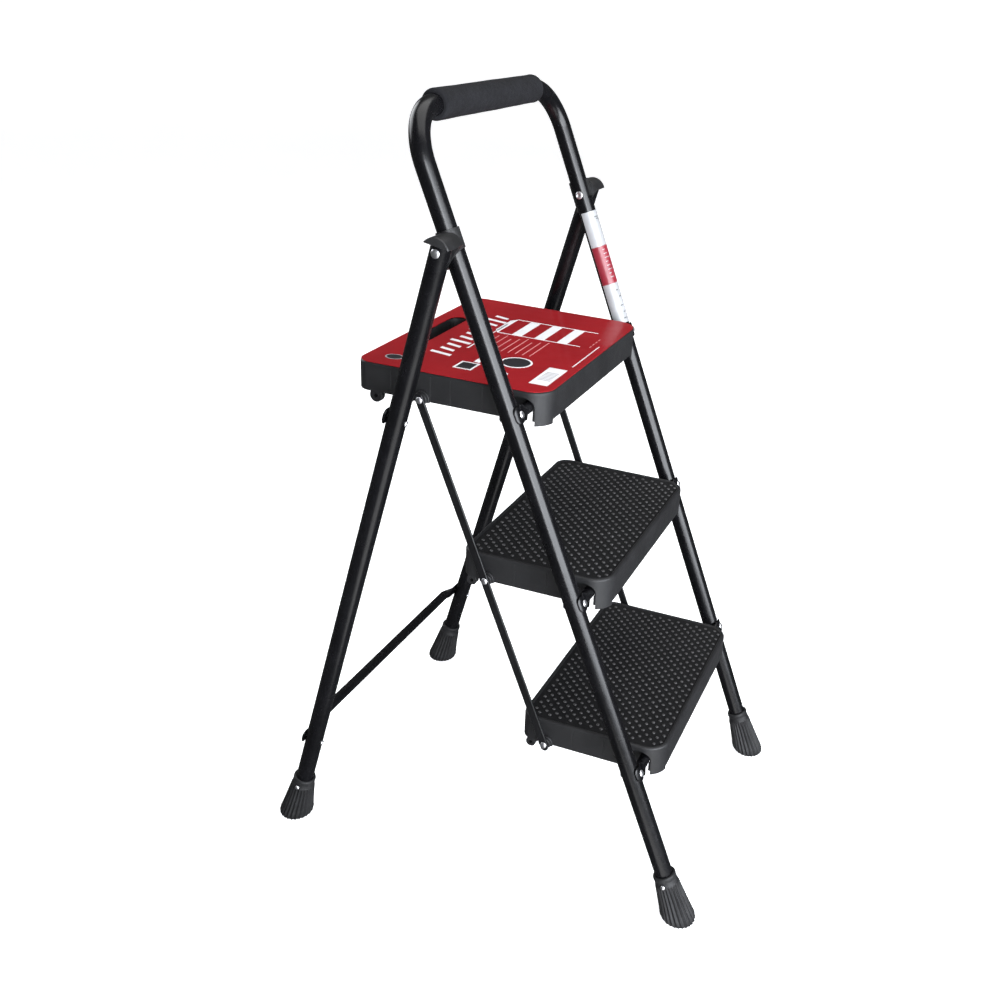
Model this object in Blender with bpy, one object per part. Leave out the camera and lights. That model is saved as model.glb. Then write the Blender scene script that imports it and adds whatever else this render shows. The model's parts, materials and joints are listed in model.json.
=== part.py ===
"""Three-step folding step ladder with a hoop handrail.

Riveted tubular steel construction: one bent front tube carries three pivoting plastic treads on
crossbars, and a two-legged rear frame hangs on two hinge rivets.  Flat side links tie
the treads together.  X is across the ladder, -Y is the climbing side, Z is up, and the origin is
on the floor in the middle of the four feet.
"""
import math

import bmesh
import bpy
from mathutils import Matrix, Vector

# Overall layout (metres, radians)
FRONT_LEAN = math.radians(22.2)
REAR_LEAN = math.radians(15.1)
HINGE_Z = 0.886
HINGE_Y = 0.5 * HINGE_Z * (math.tan(FRONT_LEAN) - math.tan(REAR_LEAN))
GAP = 0.0003

# Round steel tube
TUBE_R = 0.0125
TUBE_WALL = 0.0012
TUBE_SEGMENTS = 16
FRONT_LEG_X = 0.208
REAR_LEG_X = 0.239
TUBE_END_CLEARANCE = 0.0127
HOOP_TOP = 0.156
HOOP_BEND_R = 0.062
BEND_STEPS = 6
REAR_LEG_TOP = 0.009

# Crossbars: round tube, flattened at both ends
BAR_R = 0.0075
BAR_WALL = 0.0012
BAR_SEGMENTS = 10
FLAT_HALF_THICKNESS = 0.0015
FLAT_HALF_HEIGHT = 0.0105
FLAT_BORE_HALF_THICKNESS = 0.0004
FLAT_SHIFT = TUBE_R + GAP + FLAT_HALF_THICKNESS
FLAT_HALF_LENGTH = 0.009
FRONT_BAR_Y = -0.0085
FRONT_BAR_ROUND_X = 0.188
REAR_BAR_Y = 0.0203
REAR_BAR_ROUND_X = 0.205
REAR_UPPER_BAR_Z = -0.2216
REAR_LOWER_BAR_Z = -0.7657

# Grip on the hoop
GRIP_R = 0.0185
GRIP_LENGTH = 0.286
GRIP_ROUNDING = 0.003

# Treads, measured from their pivot axis
TREAD_TOPS = {"top": 0.715, "middle": 0.479, "lower": 0.243}
TREAD_PIVOT_DROP = 0.020
TREAD_HALF_WIDTH = 0.177
TREAD_FRONT_Y = -0.026
TREAD_REAR_Y = {"top": 0.2405, "middle": 0.1825, "lower": 0.1825}
TREAD_BOTTOM = -0.018
FINGER_BOTTOM = -0.024
FINGER_INNER_X = 0.152
FINGER_REAR_Y = -0.0095
TREAD_WALL = 0.0028
TREAD_PLATE = 0.003
FIELD_RECESS = 0.0012
# section of the rim, from the outer wall inwards: (inset, distance below the top)
RIM_PROFILE = ((0.0, 0.0030), (0.0010, 0.0008), (0.0028, 0.0), (0.0048, 0.0), (0.0060, FIELD_RECESS))
FRONT_CORNER_R = 0.030
REAR_CORNER_R = 0.020
CORNER_STEPS = 4
RIB_X = 0.060
RIB_Y = 0.085
RIB_HALF = 0.00125
RIB_BOTTOM = -0.013
CLIP_RIB_X = 0.135
BEARING_RIB_X = 0.160
BEARING_RIB_Y = (-0.0215, 0.0300)
BAR_CHANNEL_R = BAR_R + GAP
CHANNEL_SEGMENTS = 18
CHANNEL_MOUTH_HALF = 0.0062
REST_NOTCH_R = 0.0085
# arched opening in each side wall, round the crossbar
ARCH_Y = 0.0085
ARCH_HALF_WIDTH = 0.018
ARCH_SPRING_Z = -0.001
ARCH_RISE = 0.0135
ARCH_STEPS = 8
HAND_SLOT_Y = 0.209
HAND_SLOT_HALF_LENGTH = 0.064
HAND_SLOT_HALF_WIDTH = 0.013
SLOT_COLLAR = 0.0026
SLOT_COLLAR_Z = (-0.004, 0.0168)
SLOT_END_STEPS = 6

# Hook under each rear corner of a tread
EYE_Y = {"top": 0.211, "middle": 0.1665, "lower": 0.1665}
EYE_R = {"top": 0.0090, "middle": 0.0072, "lower": 0.0072}
EYE_Z = -0.0235
EYE_BORE_R = 0.0028
EYE_INNER_X = 0.168
EYE_END_CLEARANCE = 0.0008
EYE_WEB_HALF = 0.005
EYE_WEB_EDGE = 0.001

# Side links and their pivots, measured from a tread's pivot axis
LINK_PIVOT_Y = 0.1426
LINK_PIVOT_Z = -0.014
LINK_INNER_X = 0.1843
LINK_THICKNESS = 0.003
LINK_HALF_WIDTH = 0.0057
LINK_END = 0.0095
LINK_END_STEPS = 6
# arched boss the link is riveted to: (outer X, radius, height of its flat foot above the skirt's edge)
BOSS_INNER_X = 0.1755
BOSS_STEPS = ((0.1808, 0.0102, -0.0002), (LINK_INNER_X - GAP, 0.0082, 0.0001))
BOSS_ARC_STEPS = 10

# Rivets
RIVET_SEGMENTS = 10
SHANK_R = 0.0024
HEAD_R = 0.0047
HEAD_HEIGHT = 0.0023
TAIL_R = 0.0038
TAIL_HEIGHT = 0.0015
HINGE_SHANK_R = 0.0036
HINGE_HEAD_R = 0.0056

# Hinge cap
CAP_INNER_R = 0.0162
CAP_OUTER_R = 0.0187
CAP_SLEEVE_R = 0.0146
CAP_SLEEVE_Z = (-0.0235, 0.020)
CAP_CHEEK = 0.0025
CAP_SEGMENTS = 28
CAP_DISC_X = FRONT_LEG_X + 0.75 * TUBE_R
CAP_SKIRT_Z = 0.0105
CAP_SKIRT_TILT = FRONT_LEAN + math.radians(11)
CAP_SLEEVE_CUT = (-0.0138, math.radians(-35))

# Rubber foot, stations are (distance up the leg, radius, share of the floor tilt)
FOOT_SEGMENTS = 24
FOOT_STATIONS = (
    (0.0000, 0.0215, 1.0),
    (0.0030, 0.0240, 1.0),
    (0.0070, 0.0248, 0.97),
    (0.0120, 0.0244, 0.92),
    (0.0165, 0.0233, 0.86),
    (0.0400, 0.0197, 0.42),
    (0.0620, 0.0170, 0.06),
    (0.0632, 0.0163, 0.05),
    (0.0690, 0.0156, 0.0),
    (0.0705, 0.0161, 0.0),
    (0.0750, 0.0162, 0.0),
    (0.0765, 0.0150, 0.0),
)
FOOT_RIB_DEPTH = 0.0008
FOOT_RIBBED = (2, 3, 4, 5)
FOOT_BORE_START = 0.0120
FOOT_RIVET_UP = 0.064
FOOT_RIVET_REACH = 0.0172
FOOT_HEAD_R = 0.0034
FOOT_TAIL_R = 0.0034
FOOT_TAIL_SETBACK = 0.0010

# Label on the far leg and the printed card on the top tread
LABEL_Z = (-0.1965, -0.0262)
LABEL_THICKNESS = 0.0004
LABEL_TURN = (math.radians(152), math.radians(430))
LABEL_STEPS = 14
CARD_THICKNESS = 0.0006
CARD_INSET = 0.001
CARD_SLOT_MARGIN = (0.002, -0.0005)

MATERIALS = {
    "powder_black": ((0.012, 0.012, 0.014), 0.32, 0.0),
    "grip_foam": ((0.035, 0.036, 0.045), 0.92, 0.0),
    "cap_plastic": ((0.022, 0.022, 0.023), 0.48, 0.0),
    "tread_plastic": ((0.030, 0.030, 0.032), 0.55, 0.0),
    "foot_rubber": ((0.016, 0.016, 0.017), 0.78, 0.0),
    "zinc_rivet": ((0.72, 0.72, 0.73), 0.24, 1.0),
    "card_red": ((0.42, 0.010, 0.020), 0.22, 0.0),
    "label_white": ((0.85, 0.85, 0.86), 0.45, 0.0),
}


def clear_scene():
    for obj in list(bpy.data.objects):
        bpy.data.objects.remove(obj, do_unlink=True)


def make_materials():
    for name, (colour, roughness, metallic) in MATERIALS.items():
        mat = bpy.data.materials.new(name)
        mat.use_nodes = True
        shader = mat.node_tree.nodes["Principled BSDF"]
        shader.inputs["Base Color"].default_value = (*colour, 1.0)
        shader.inputs["Roughness"].default_value = roughness
        shader.inputs["Metallic"].default_value = metallic
        mat.diffuse_color = (*colour, 1.0)


def add_empty(name, location, tilt=0.0, parent=None):
    obj = bpy.data.objects.new(name, None)
    bpy.context.scene.collection.objects.link(obj)
    obj.empty_display_size = 0.05
    obj.parent = parent
    obj.location = location
    obj.rotation_euler = (tilt, 0.0, 0.0)
    return obj


def add_object(name, bm, parent, material, location=(0, 0, 0), rotation=(0, 0, 0)):
    bmesh.ops.recalc_face_normals(bm, faces=bm.faces)
    mesh = bpy.data.meshes.new(name)
    bm.to_mesh(mesh)
    bm.free()
    obj = bpy.data.objects.new(name, mesh)
    bpy.context.scene.collection.objects.link(obj)
    obj.parent = parent
    obj.location = location
    obj.rotation_euler = rotation
    if material:
        base = bpy.data.materials[material].copy()
        base.name = name + "_" + material
        mesh.materials.append(base)
        mesh.shade_smooth()
        mesh.set_sharp_from_angle(angle=math.radians(35))
    return obj


def add_cutter(name, bm, parent):
    obj = add_object(name, bm, parent, None)
    obj.hide_render = True
    obj.display_type = "WIRE"
    return obj


def add_boolean(obj, tool, operation):
    mod = obj.modifiers.new(tool.name, "BOOLEAN")
    mod.operation = operation
    mod.solver = "EXACT"
    mod.object = tool


def cut(obj, bm, label):
    add_boolean(obj, add_cutter(f"{obj.name}_cut_{label}", bm, obj.parent), "DIFFERENCE")


def fuse(obj, bm, label):
    add_boolean(obj, add_cutter(f"{obj.name}_add_{label}", bm, obj.parent), "UNION")


def add_rings(bm, rings):
    """Skin consecutive rings of equal length with quads and return the rings' vertices."""
    loops = [[bm.verts.new(p) for p in ring] for ring in rings]
    for low, high in zip(loops, loops[1:]):
        count = len(low)
        for i in range(count):
            j = (i + 1) % count
            bm.faces.new((low[i], low[j], high[j], high[i]))
    return loops


def solid_from_rings(rings):
    bm = bmesh.new()
    loops = add_rings(bm, rings)
    bm.faces.new(loops[0][::-1])
    bm.faces.new(loops[-1])
    return bm


def pipe_from_rings(outer, inner):
    """A hollow tube, open at both ends, with flat annular end faces."""
    bm = bmesh.new()
    out_loops = add_rings(bm, outer)
    in_loops = add_rings(bm, inner)
    count = len(outer[0])
    for out_ring, in_ring in ((out_loops[0], in_loops[0]), (out_loops[-1], in_loops[-1])):
        for i in range(count):
            j = (i + 1) % count
            bm.faces.new((out_ring[i], out_ring[j], in_ring[j], in_ring[i]))
    return bm


def circle(centre, radius, axis_a, axis_b, segments):
    step = math.tau / segments
    return [
        Vector(centre) + radius * (math.cos(i * step) * axis_a + math.sin(i * step) * axis_b)
        for i in range(segments)
    ]


X_AXIS, Y_AXIS, Z_AXIS = Vector((1, 0, 0)), Vector((0, 1, 0)), Vector((0, 0, 1))


def rod(axis, start, end, radius, segments=TUBE_SEGMENTS, across=(0.0, 0.0)):
    """A solid round bar along one local axis; across gives the two other coordinates in order."""
    frames = {
        "X": (X_AXIS, Y_AXIS, Z_AXIS),
        "Y": (Y_AXIS, X_AXIS, Z_AXIS),
        "Z": (Z_AXIS, X_AXIS, Y_AXIS),
    }
    along, side_a, side_b = frames[axis]
    base = across[0] * side_a + across[1] * side_b
    return solid_from_rings(
        [circle(base + t * along, radius, side_a, side_b, segments) for t in (start, end)]
    )


def block(low, high):
    bm = bmesh.new()
    bmesh.ops.create_cube(bm, size=1.0)
    size = [h - l for l, h in zip(low, high)]
    centre = [0.5 * (h + l) for l, h in zip(low, high)]
    bmesh.ops.scale(bm, vec=size, verts=bm.verts)
    bmesh.ops.translate(bm, vec=centre, verts=bm.verts)
    return bm


def merged(*parts):
    """Several separate solids in one mesh, for cutters and unions only."""
    out = bmesh.new()
    for part in parts:
        mesh = bpy.data.meshes.new("scratch")
        part.to_mesh(mesh)
        part.free()
        out.from_mesh(mesh)
        bpy.data.meshes.remove(mesh)
    return out


def mirror_x(bm):
    bmesh.ops.scale(bm, vec=(-1, 1, 1), verts=bm.verts)
    return bm


def both_sides(maker):
    return merged(maker(), mirror_x(maker()))


# --- rivets -------------------------------------------------------------------------------------


def rivet(name, parent, location, rotation, grip, shank=SHANK_R, head=HEAD_R, tail=TAIL_R):
    """Domed rivet: its head sits on local z = 0 facing +Z and its tail grips at -grip."""
    profile = (
        (tail * 0.8, -grip - TAIL_HEIGHT),
        (tail, -grip - 0.4 * TAIL_HEIGHT),
        (tail, -grip),
        (shank, -grip),
        (shank, 0.0),
        (head, 0.0),
        (head * 0.9, 0.45 * HEAD_HEIGHT),
        (head * 0.5, HEAD_HEIGHT),
    )
    rings = [circle((0, 0, z), r, X_AXIS, Y_AXIS, RIVET_SEGMENTS) for r, z in profile]
    return add_object(name, solid_from_rings(rings), parent, "zinc_rivet", location, rotation)


FACING_MINUS_Y = (math.pi / 2, 0.0, 0.0)
FACING_PLUS_Y = (-math.pi / 2, 0.0, 0.0)


def facing_x(side):
    return (0.0, side * math.pi / 2, 0.0)


# --- tubes --------------------------------------------------------------------------------------


def leg_length(lean):
    return HINGE_Z / math.cos(lean)


def hoop_path():
    """Centreline of the front tube as (x, z, direction angle) from left foot to right foot."""
    bottom = TUBE_END_CLEARANCE - leg_length(FRONT_LEAN)
    bend_z = HOOP_TOP - HOOP_BEND_R
    bend_x = FRONT_LEG_X - HOOP_BEND_R
    path = [(-FRONT_LEG_X, bottom, math.pi)]
    for side in (-1, 1):
        for i in range(BEND_STEPS + 1):
            turn = 0.5 * math.pi * i / BEND_STEPS
            angle = math.pi - turn if side < 0 else 0.5 * math.pi - turn
            x = side * bend_x + HOOP_BEND_R * math.cos(angle)
            path.append((x, bend_z + HOOP_BEND_R * math.sin(angle), angle))
    path.append((FRONT_LEG_X, bottom, 0.0))
    return path


def hoop_rings(radius):
    rings = []
    for x, z, angle in hoop_path():
        outward = Vector((math.cos(angle), 0.0, math.sin(angle)))
        rings.append(circle((x, 0.0, z), radius, outward, Y_AXIS, TUBE_SEGMENTS))
    return rings


def build_front_tube(parent, bar_heights):
    bm = pipe_from_rings(hoop_rings(TUBE_R), hoop_rings(TUBE_R - TUBE_WALL))
    tube = add_object("front_tube", bm, parent, "powder_black")
    drill = SHANK_R + GAP
    holes = []
    for side in (-1, 1):
        x = side * FRONT_LEG_X
        for z in bar_heights:
            holes.append(rod("Y", -0.02, 0.02, drill, RIVET_SEGMENTS, (x, z)))
        foot_z = FOOT_RIVET_UP - leg_length(FRONT_LEAN)
        holes.append(rod("X", x, x + side * 0.02, drill, RIVET_SEGMENTS, (0.0, foot_z)))
        holes.append(rod("X", x - 0.02, x + 0.02, HINGE_SHANK_R + GAP, RIVET_SEGMENTS))
    cut(tube, merged(*holes), "rivet_holes")


def build_rear_leg(parent, side):
    bottom = TUBE_END_CLEARANCE - leg_length(REAR_LEAN)
    x = side * REAR_LEG_X
    rings = [
        [circle((x, 0.0, z), r, X_AXIS, Y_AXIS, TUBE_SEGMENTS) for z in (bottom, REAR_LEG_TOP)]
        for r in (TUBE_R, TUBE_R - TUBE_WALL)
    ]
    name = "rear_leg_left" if side < 0 else "rear_leg_right"
    leg = add_object(name, pipe_from_rings(*rings), parent, "powder_black")
    drill = SHANK_R + GAP
    foot_z = FOOT_RIVET_UP - leg_length(REAR_LEAN)
    holes = [
        rod("Y", -0.02, 0.02, drill, RIVET_SEGMENTS, (x, z))
        for z in (REAR_UPPER_BAR_Z, REAR_LOWER_BAR_Z)
    ]
    holes.append(rod("X", x, x + side * 0.02, drill, RIVET_SEGMENTS, (0.0, foot_z)))
    holes.append(rod("X", x - 0.02, x + 0.02, HINGE_SHANK_R + GAP, RIVET_SEGMENTS))
    cut(leg, merged(*holes), "rivet_holes")


# --- crossbars ----------------------------------------------------------------------------------


def bar_section(x, y, half_y, half_z, tilt):
    """An oval ring across the bar; tilt turns it about Z so that it follows a cupped end."""
    axis_a = Vector((math.sin(tilt), math.cos(tilt), 0.0)) * half_y
    return circle((x, y, 0.0), 1.0, axis_a, Z_AXIS * half_z, BAR_SEGMENTS)


def cupped_end(leg_x):
    """Stations of an end pressed flat and cupped round the front of a leg at leg_x."""
    stations = []
    for offset in (-0.0090, -0.0050, 0.0, 0.0050, 0.0085):
        tilt = math.asin(offset / FLAT_SHIFT)
        height = FLAT_HALF_HEIGHT if offset < 0.006 else 0.65 * FLAT_HALF_HEIGHT
        stations.append((leg_x + offset, -FLAT_SHIFT * math.cos(tilt), height, -tilt))
    return stations


def flat_end(leg_x):
    """Stations of an end pressed flat against the rear of a leg at leg_x."""
    reach = FLAT_HALF_LENGTH
    return [
        (leg_x - 1.3 * reach, FLAT_SHIFT, FLAT_HALF_HEIGHT, 0.0),
        (leg_x + 0.6 * reach, FLAT_SHIFT, FLAT_HALF_HEIGHT, 0.0),
        (leg_x + reach, FLAT_SHIFT, 0.65 * FLAT_HALF_HEIGHT, 0.0),
    ]


def half_bar(axis_y, round_end, end_stations, wall):
    half = [(round_end, axis_y, BAR_R - wall, BAR_R - wall, 0.0)]
    thin = FLAT_BORE_HALF_THICKNESS if wall else FLAT_HALF_THICKNESS
    for x, y, height, tilt in end_stations:
        half.append((x, y, thin, height - wall, tilt))
    return half


def bar_rings(axis_y, round_end, end_stations, wall):
    right = half_bar(axis_y, round_end, end_stations, wall)
    left = [(-x, y, half_y, half_z, -tilt) for x, y, half_y, half_z, tilt in reversed(right)]
    return [bar_section(*station) for station in left + right]


def build_crossbar(name, parent, z, axis_y, round_end, end_stations, leg_x):
    outer = bar_rings(axis_y, round_end, end_stations, 0.0)
    inner = bar_rings(axis_y, round_end, end_stations, BAR_WALL)
    bar = add_object(name, pipe_from_rings(outer, inner), parent, "powder_black", (0, 0, z))
    holes = both_sides(lambda: rod("Y", -0.03, 0.03, SHANK_R + GAP, RIVET_SEGMENTS, (leg_x, z)))
    cut(bar, holes, "rivet_holes")


def bar_rivets(prefix, parent, z, leg_x, facing):
    """One rivet through each flattened end and the leg behind it."""
    sign = -1 if facing == FACING_MINUS_Y else 1
    head_y = sign * (FLAT_SHIFT + FLAT_HALF_THICKNESS + GAP)
    grip = abs(head_y) + TUBE_R + GAP
    for side, label in ((-1, "left"), (1, "right")):
        rivet(f"{prefix}_rivet_{label}", parent, (side * leg_x, head_y, z), facing, grip)


# --- feet ---------------------------------------------------------------------------------------


def foot_ring(index, floor_z, x, lean):
    up, radius, share = FOOT_STATIONS[index]
    tilt = share * lean
    across = Vector((0.0, math.cos(tilt), math.sin(tilt)))
    step = math.tau / FOOT_SEGMENTS
    ring = []
    for i in range(FOOT_SEGMENTS):
        groove = FOOT_RIB_DEPTH if index in FOOT_RIBBED and i % 2 else 0.0
        r = radius - groove
        ring.append(
            Vector((x, 0.0, floor_z + up))
            + r * math.cos(i * step) * X_AXIS
            + r * math.sin(i * step) * across
        )
    return ring


def build_foot(name, parent, side, leg_x, lean):
    """lean is positive where the floor rises towards local +Y seen from the leg's own frame."""
    floor_z = -leg_length(lean)
    x = side * leg_x
    rings = [foot_ring(i, floor_z, x, lean) for i in range(len(FOOT_STATIONS))]
    foot = add_object(name, solid_from_rings(rings), parent, "foot_rubber")
    bore = rod("Z", floor_z + FOOT_BORE_START, floor_z + 0.11, TUBE_R + GAP, across=(x, 0.0))
    pin_z = floor_z + FOOT_RIVET_UP
    pin = rod("X", x, x + side * 0.03, SHANK_R + GAP, RIVET_SEGMENTS, (0.0, pin_z))
    cut(foot, bore, "bore")
    cut(foot, pin, "pin")
    rivet(
        name.replace("foot", "foot_rivet"),
        parent,
        (x + side * FOOT_RIVET_REACH, 0.0, pin_z),
        facing_x(side),
        FOOT_RIVET_REACH - TUBE_R + TUBE_WALL + FOOT_TAIL_SETBACK,
        head=FOOT_HEAD_R,
        tail=FOOT_TAIL_R,
    )


# --- hinge caps ---------------------------------------------------------------------------------


def build_hinge_cap(parent, side):
    """Moulded cap: sleeve on the front leg, spacer disc, and a dome over the rear leg's end."""
    label = "left" if side < 0 else "right"
    inner_x = FRONT_LEG_X + TUBE_R + GAP
    spacer_x = REAR_LEG_X - TUBE_R - GAP
    cheek_x = REAR_LEG_X + TUBE_R + GAP
    outer_x = cheek_x + CAP_CHEEK

    def sided(bm):
        return mirror_x(bm) if side < 0 else bm

    body = rod("X", CAP_DISC_X, outer_x, CAP_OUTER_R, CAP_SEGMENTS)
    cap = add_object(f"hinge_cap_{label}", sided(body), parent, "cap_plastic")
    sleeve = rod("Z", CAP_SLEEVE_Z[0], CAP_SLEEVE_Z[1], CAP_SLEEVE_R, 24, (FRONT_LEG_X, 0.0))
    fuse(cap, sided(sleeve), "sleeve")
    # the room that the rear leg's end turns in, and everything below the skirt line
    room = rod("X", spacer_x, cheek_x, CAP_INNER_R, CAP_SEGMENTS)
    below = block((spacer_x, -0.04, -0.04), (outer_x + 0.01, 0.04, 0.0))
    below.transform(Matrix.Translation((0, 0, CAP_SKIRT_Z)) @ Matrix.Rotation(CAP_SKIRT_TILT, 4, "X"))
    slant_z, slant = CAP_SLEEVE_CUT
    sleeve_end = block((FRONT_LEG_X - 0.035, -0.05, -0.05), (spacer_x + CAP_CHEEK, 0.05, 0.0))
    sleeve_end.transform(Matrix.Translation((0, 0, slant_z)) @ Matrix.Rotation(slant, 4, "X"))
    cut(cap, sided(room), "room")
    cut(cap, sided(below), "below")
    cut(cap, sided(sleeve_end), "sleeve_end")
    inner_face = block((FRONT_LEG_X - 0.03, -0.03, -0.03), (FRONT_LEG_X - 0.004, 0.03, 0.03))
    cut(cap, sided(inner_face), "inner_face")
    bore = rod("Z", -0.05, 0.05, inner_x - FRONT_LEG_X, 24, (FRONT_LEG_X, 0.0))
    cut(cap, sided(bore), "bore")
    pin = rod("X", FRONT_LEG_X, outer_x, HINGE_SHANK_R + GAP, RIVET_SEGMENTS)
    cut(cap, sided(pin), "pin")


def build_hinge_rivet(parent, side):
    label = "left" if side < 0 else "right"
    head_x = REAR_LEG_X + TUBE_R + GAP
    grip = head_x - (FRONT_LEG_X - TUBE_R - GAP)
    rivet(
        f"hinge_rivet_{label}",
        parent,
        (side * head_x, 0.0, 0.0),
        facing_x(side),
        grip,
        HINGE_SHANK_R,
        HINGE_HEAD_R,
        HINGE_HEAD_R,
    )


# --- treads -------------------------------------------------------------------------------------


def tread_outline(rear_y, inset, z):
    """Rounded rectangle, corners turned with a fixed number of steps."""
    half = TREAD_HALF_WIDTH - inset
    front = TREAD_FRONT_Y + inset
    rear = rear_y - inset
    r_front = FRONT_CORNER_R - inset
    r_rear = REAR_CORNER_R - inset
    corners = (
        (half - r_front, front + r_front, r_front, -90),
        (half - r_rear, rear - r_rear, r_rear, 0),
        (-half + r_rear, rear - r_rear, r_rear, 90),
        (-half + r_front, front + r_front, r_front, 180),
    )
    points = []
    for cx, cy, radius, start in corners:
        for i in range(CORNER_STEPS + 1):
            angle = math.radians(start + 90.0 * i / CORNER_STEPS)
            points.append(Vector((cx + radius * math.cos(angle), cy + radius * math.sin(angle), z)))
    return points


def stadium(half_length, half_width, y, z):
    """Slot outline along X with round ends."""
    straight = half_length - half_width
    points = []
    for side, start in ((1, -90), (-1, 90)):
        for i in range(SLOT_END_STEPS + 1):
            angle = math.radians(start + 180 * i / SLOT_END_STEPS)
            x = side * straight + half_width * math.cos(angle)
            points.append(Vector((x, y + half_width * math.sin(angle), z)))
    return points


def tread_shell(rear_y):
    levels = [(0.0, FINGER_BOTTOM)]
    levels += [(inset, TREAD_PIVOT_DROP - drop) for inset, drop in RIM_PROFILE]
    return solid_from_rings([tread_outline(rear_y, inset, z) for inset, z in levels])


def tread_cavity(rear_y):
    top = TREAD_PIVOT_DROP - FIELD_RECESS - TREAD_PLATE
    return solid_from_rings([tread_outline(rear_y, TREAD_WALL, z) for z in (-0.03, top)])


def tread_skirt_trim():
    """Removes the skirt below its edge everywhere but at the two front corners."""
    return merged(
        block((-0.2, FINGER_REAR_Y, -0.04), (0.2, 0.3, TREAD_BOTTOM)),
        block((-FINGER_INNER_X, -0.04, -0.04), (FINGER_INNER_X, 0.0, TREAD_BOTTOM)),
    )


def tread_ribs(rear_y):
    top = TREAD_PIVOT_DROP - FIELD_RECESS - 0.5 * TREAD_PLATE
    front = TREAD_FRONT_Y + 0.5 * TREAD_WALL
    rear = rear_y - 0.5 * TREAD_WALL
    side = TREAD_HALF_WIDTH - 0.5 * TREAD_WALL
    long_ribs = [
        block((x - RIB_HALF, front, RIB_BOTTOM), (x + RIB_HALF, rear, top)) for x in (-RIB_X, RIB_X)
    ]
    cross_rib = block((-side, RIB_Y - RIB_HALF, RIB_BOTTOM), (side, RIB_Y + RIB_HALF, top))
    clips = [
        block((x - RIB_HALF, front, RIB_BOTTOM), (x + RIB_HALF, RIB_Y, top))
        for x in (-CLIP_RIB_X, CLIP_RIB_X)
    ]
    bearing_front, bearing_rear = BEARING_RIB_Y
    bearings = [
        block((x - RIB_HALF, bearing_front, TREAD_BOTTOM), (x + RIB_HALF, bearing_rear, top))
        for x in (-BEARING_RIB_X, BEARING_RIB_X)
    ]
    return long_ribs + clips + bearings, cross_rib


def link_boss():
    """Boss in two steps, round above and flat along the edge of the skirt."""
    rings = []
    inner = BOSS_INNER_X
    for outer, radius, foot in BOSS_STEPS:
        for x in (inner, outer):
            ring = [
                Vector((x, LINK_PIVOT_Y - radius, TREAD_BOTTOM + foot)),
                Vector((x, LINK_PIVOT_Y + radius, TREAD_BOTTOM + foot)),
            ]
            for i in range(BOSS_ARC_STEPS + 1):
                angle = math.pi * i / BOSS_ARC_STEPS
                y = LINK_PIVOT_Y + radius * math.cos(angle)
                ring.append(Vector((x, y, LINK_PIVOT_Z + radius * math.sin(angle))))
            rings.append(ring)
        inner = outer
    return solid_from_rings(rings)


def corner_eye(kind):
    """Thick ring under the rear corner on a short web."""
    y = EYE_Y[kind]
    end = TREAD_HALF_WIDTH - EYE_END_CLEARANCE
    ring = rod("X", EYE_INNER_X, end, EYE_R[kind], 16, (y, EYE_Z))
    web_low = (EYE_INNER_X + EYE_WEB_EDGE, y - EYE_WEB_HALF, EYE_Z + EYE_WEB_HALF)
    web_high = (end - 0.5 * EYE_END_CLEARANCE, y + EYE_WEB_HALF, TREAD_BOTTOM + EYE_WEB_HALF)
    return ring, block(web_low, web_high)


def eye_bore(kind):
    return rod("X", EYE_INNER_X - 0.008, TREAD_HALF_WIDTH + 0.01, EYE_BORE_R, 12,
               (EYE_Y[kind], EYE_Z))


def side_arch():
    """Cutter for the arched opening in one side wall, flush with the rear of the front corner."""
    rings = []
    for x in (TREAD_HALF_WIDTH - 1.5 * TREAD_WALL, TREAD_HALF_WIDTH + TREAD_WALL):
        ring = [
            Vector((x, ARCH_Y - ARCH_HALF_WIDTH, -0.04)),
            Vector((x, ARCH_Y + ARCH_HALF_WIDTH, -0.04)),
        ]
        for i in range(ARCH_STEPS + 1):
            angle = math.pi * i / ARCH_STEPS
            y = ARCH_Y + ARCH_HALF_WIDTH * math.cos(angle)
            ring.append(Vector((x, y, ARCH_SPRING_Z + ARCH_RISE * math.sin(angle))))
        rings.append(ring)
    return solid_from_rings(rings)


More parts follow.
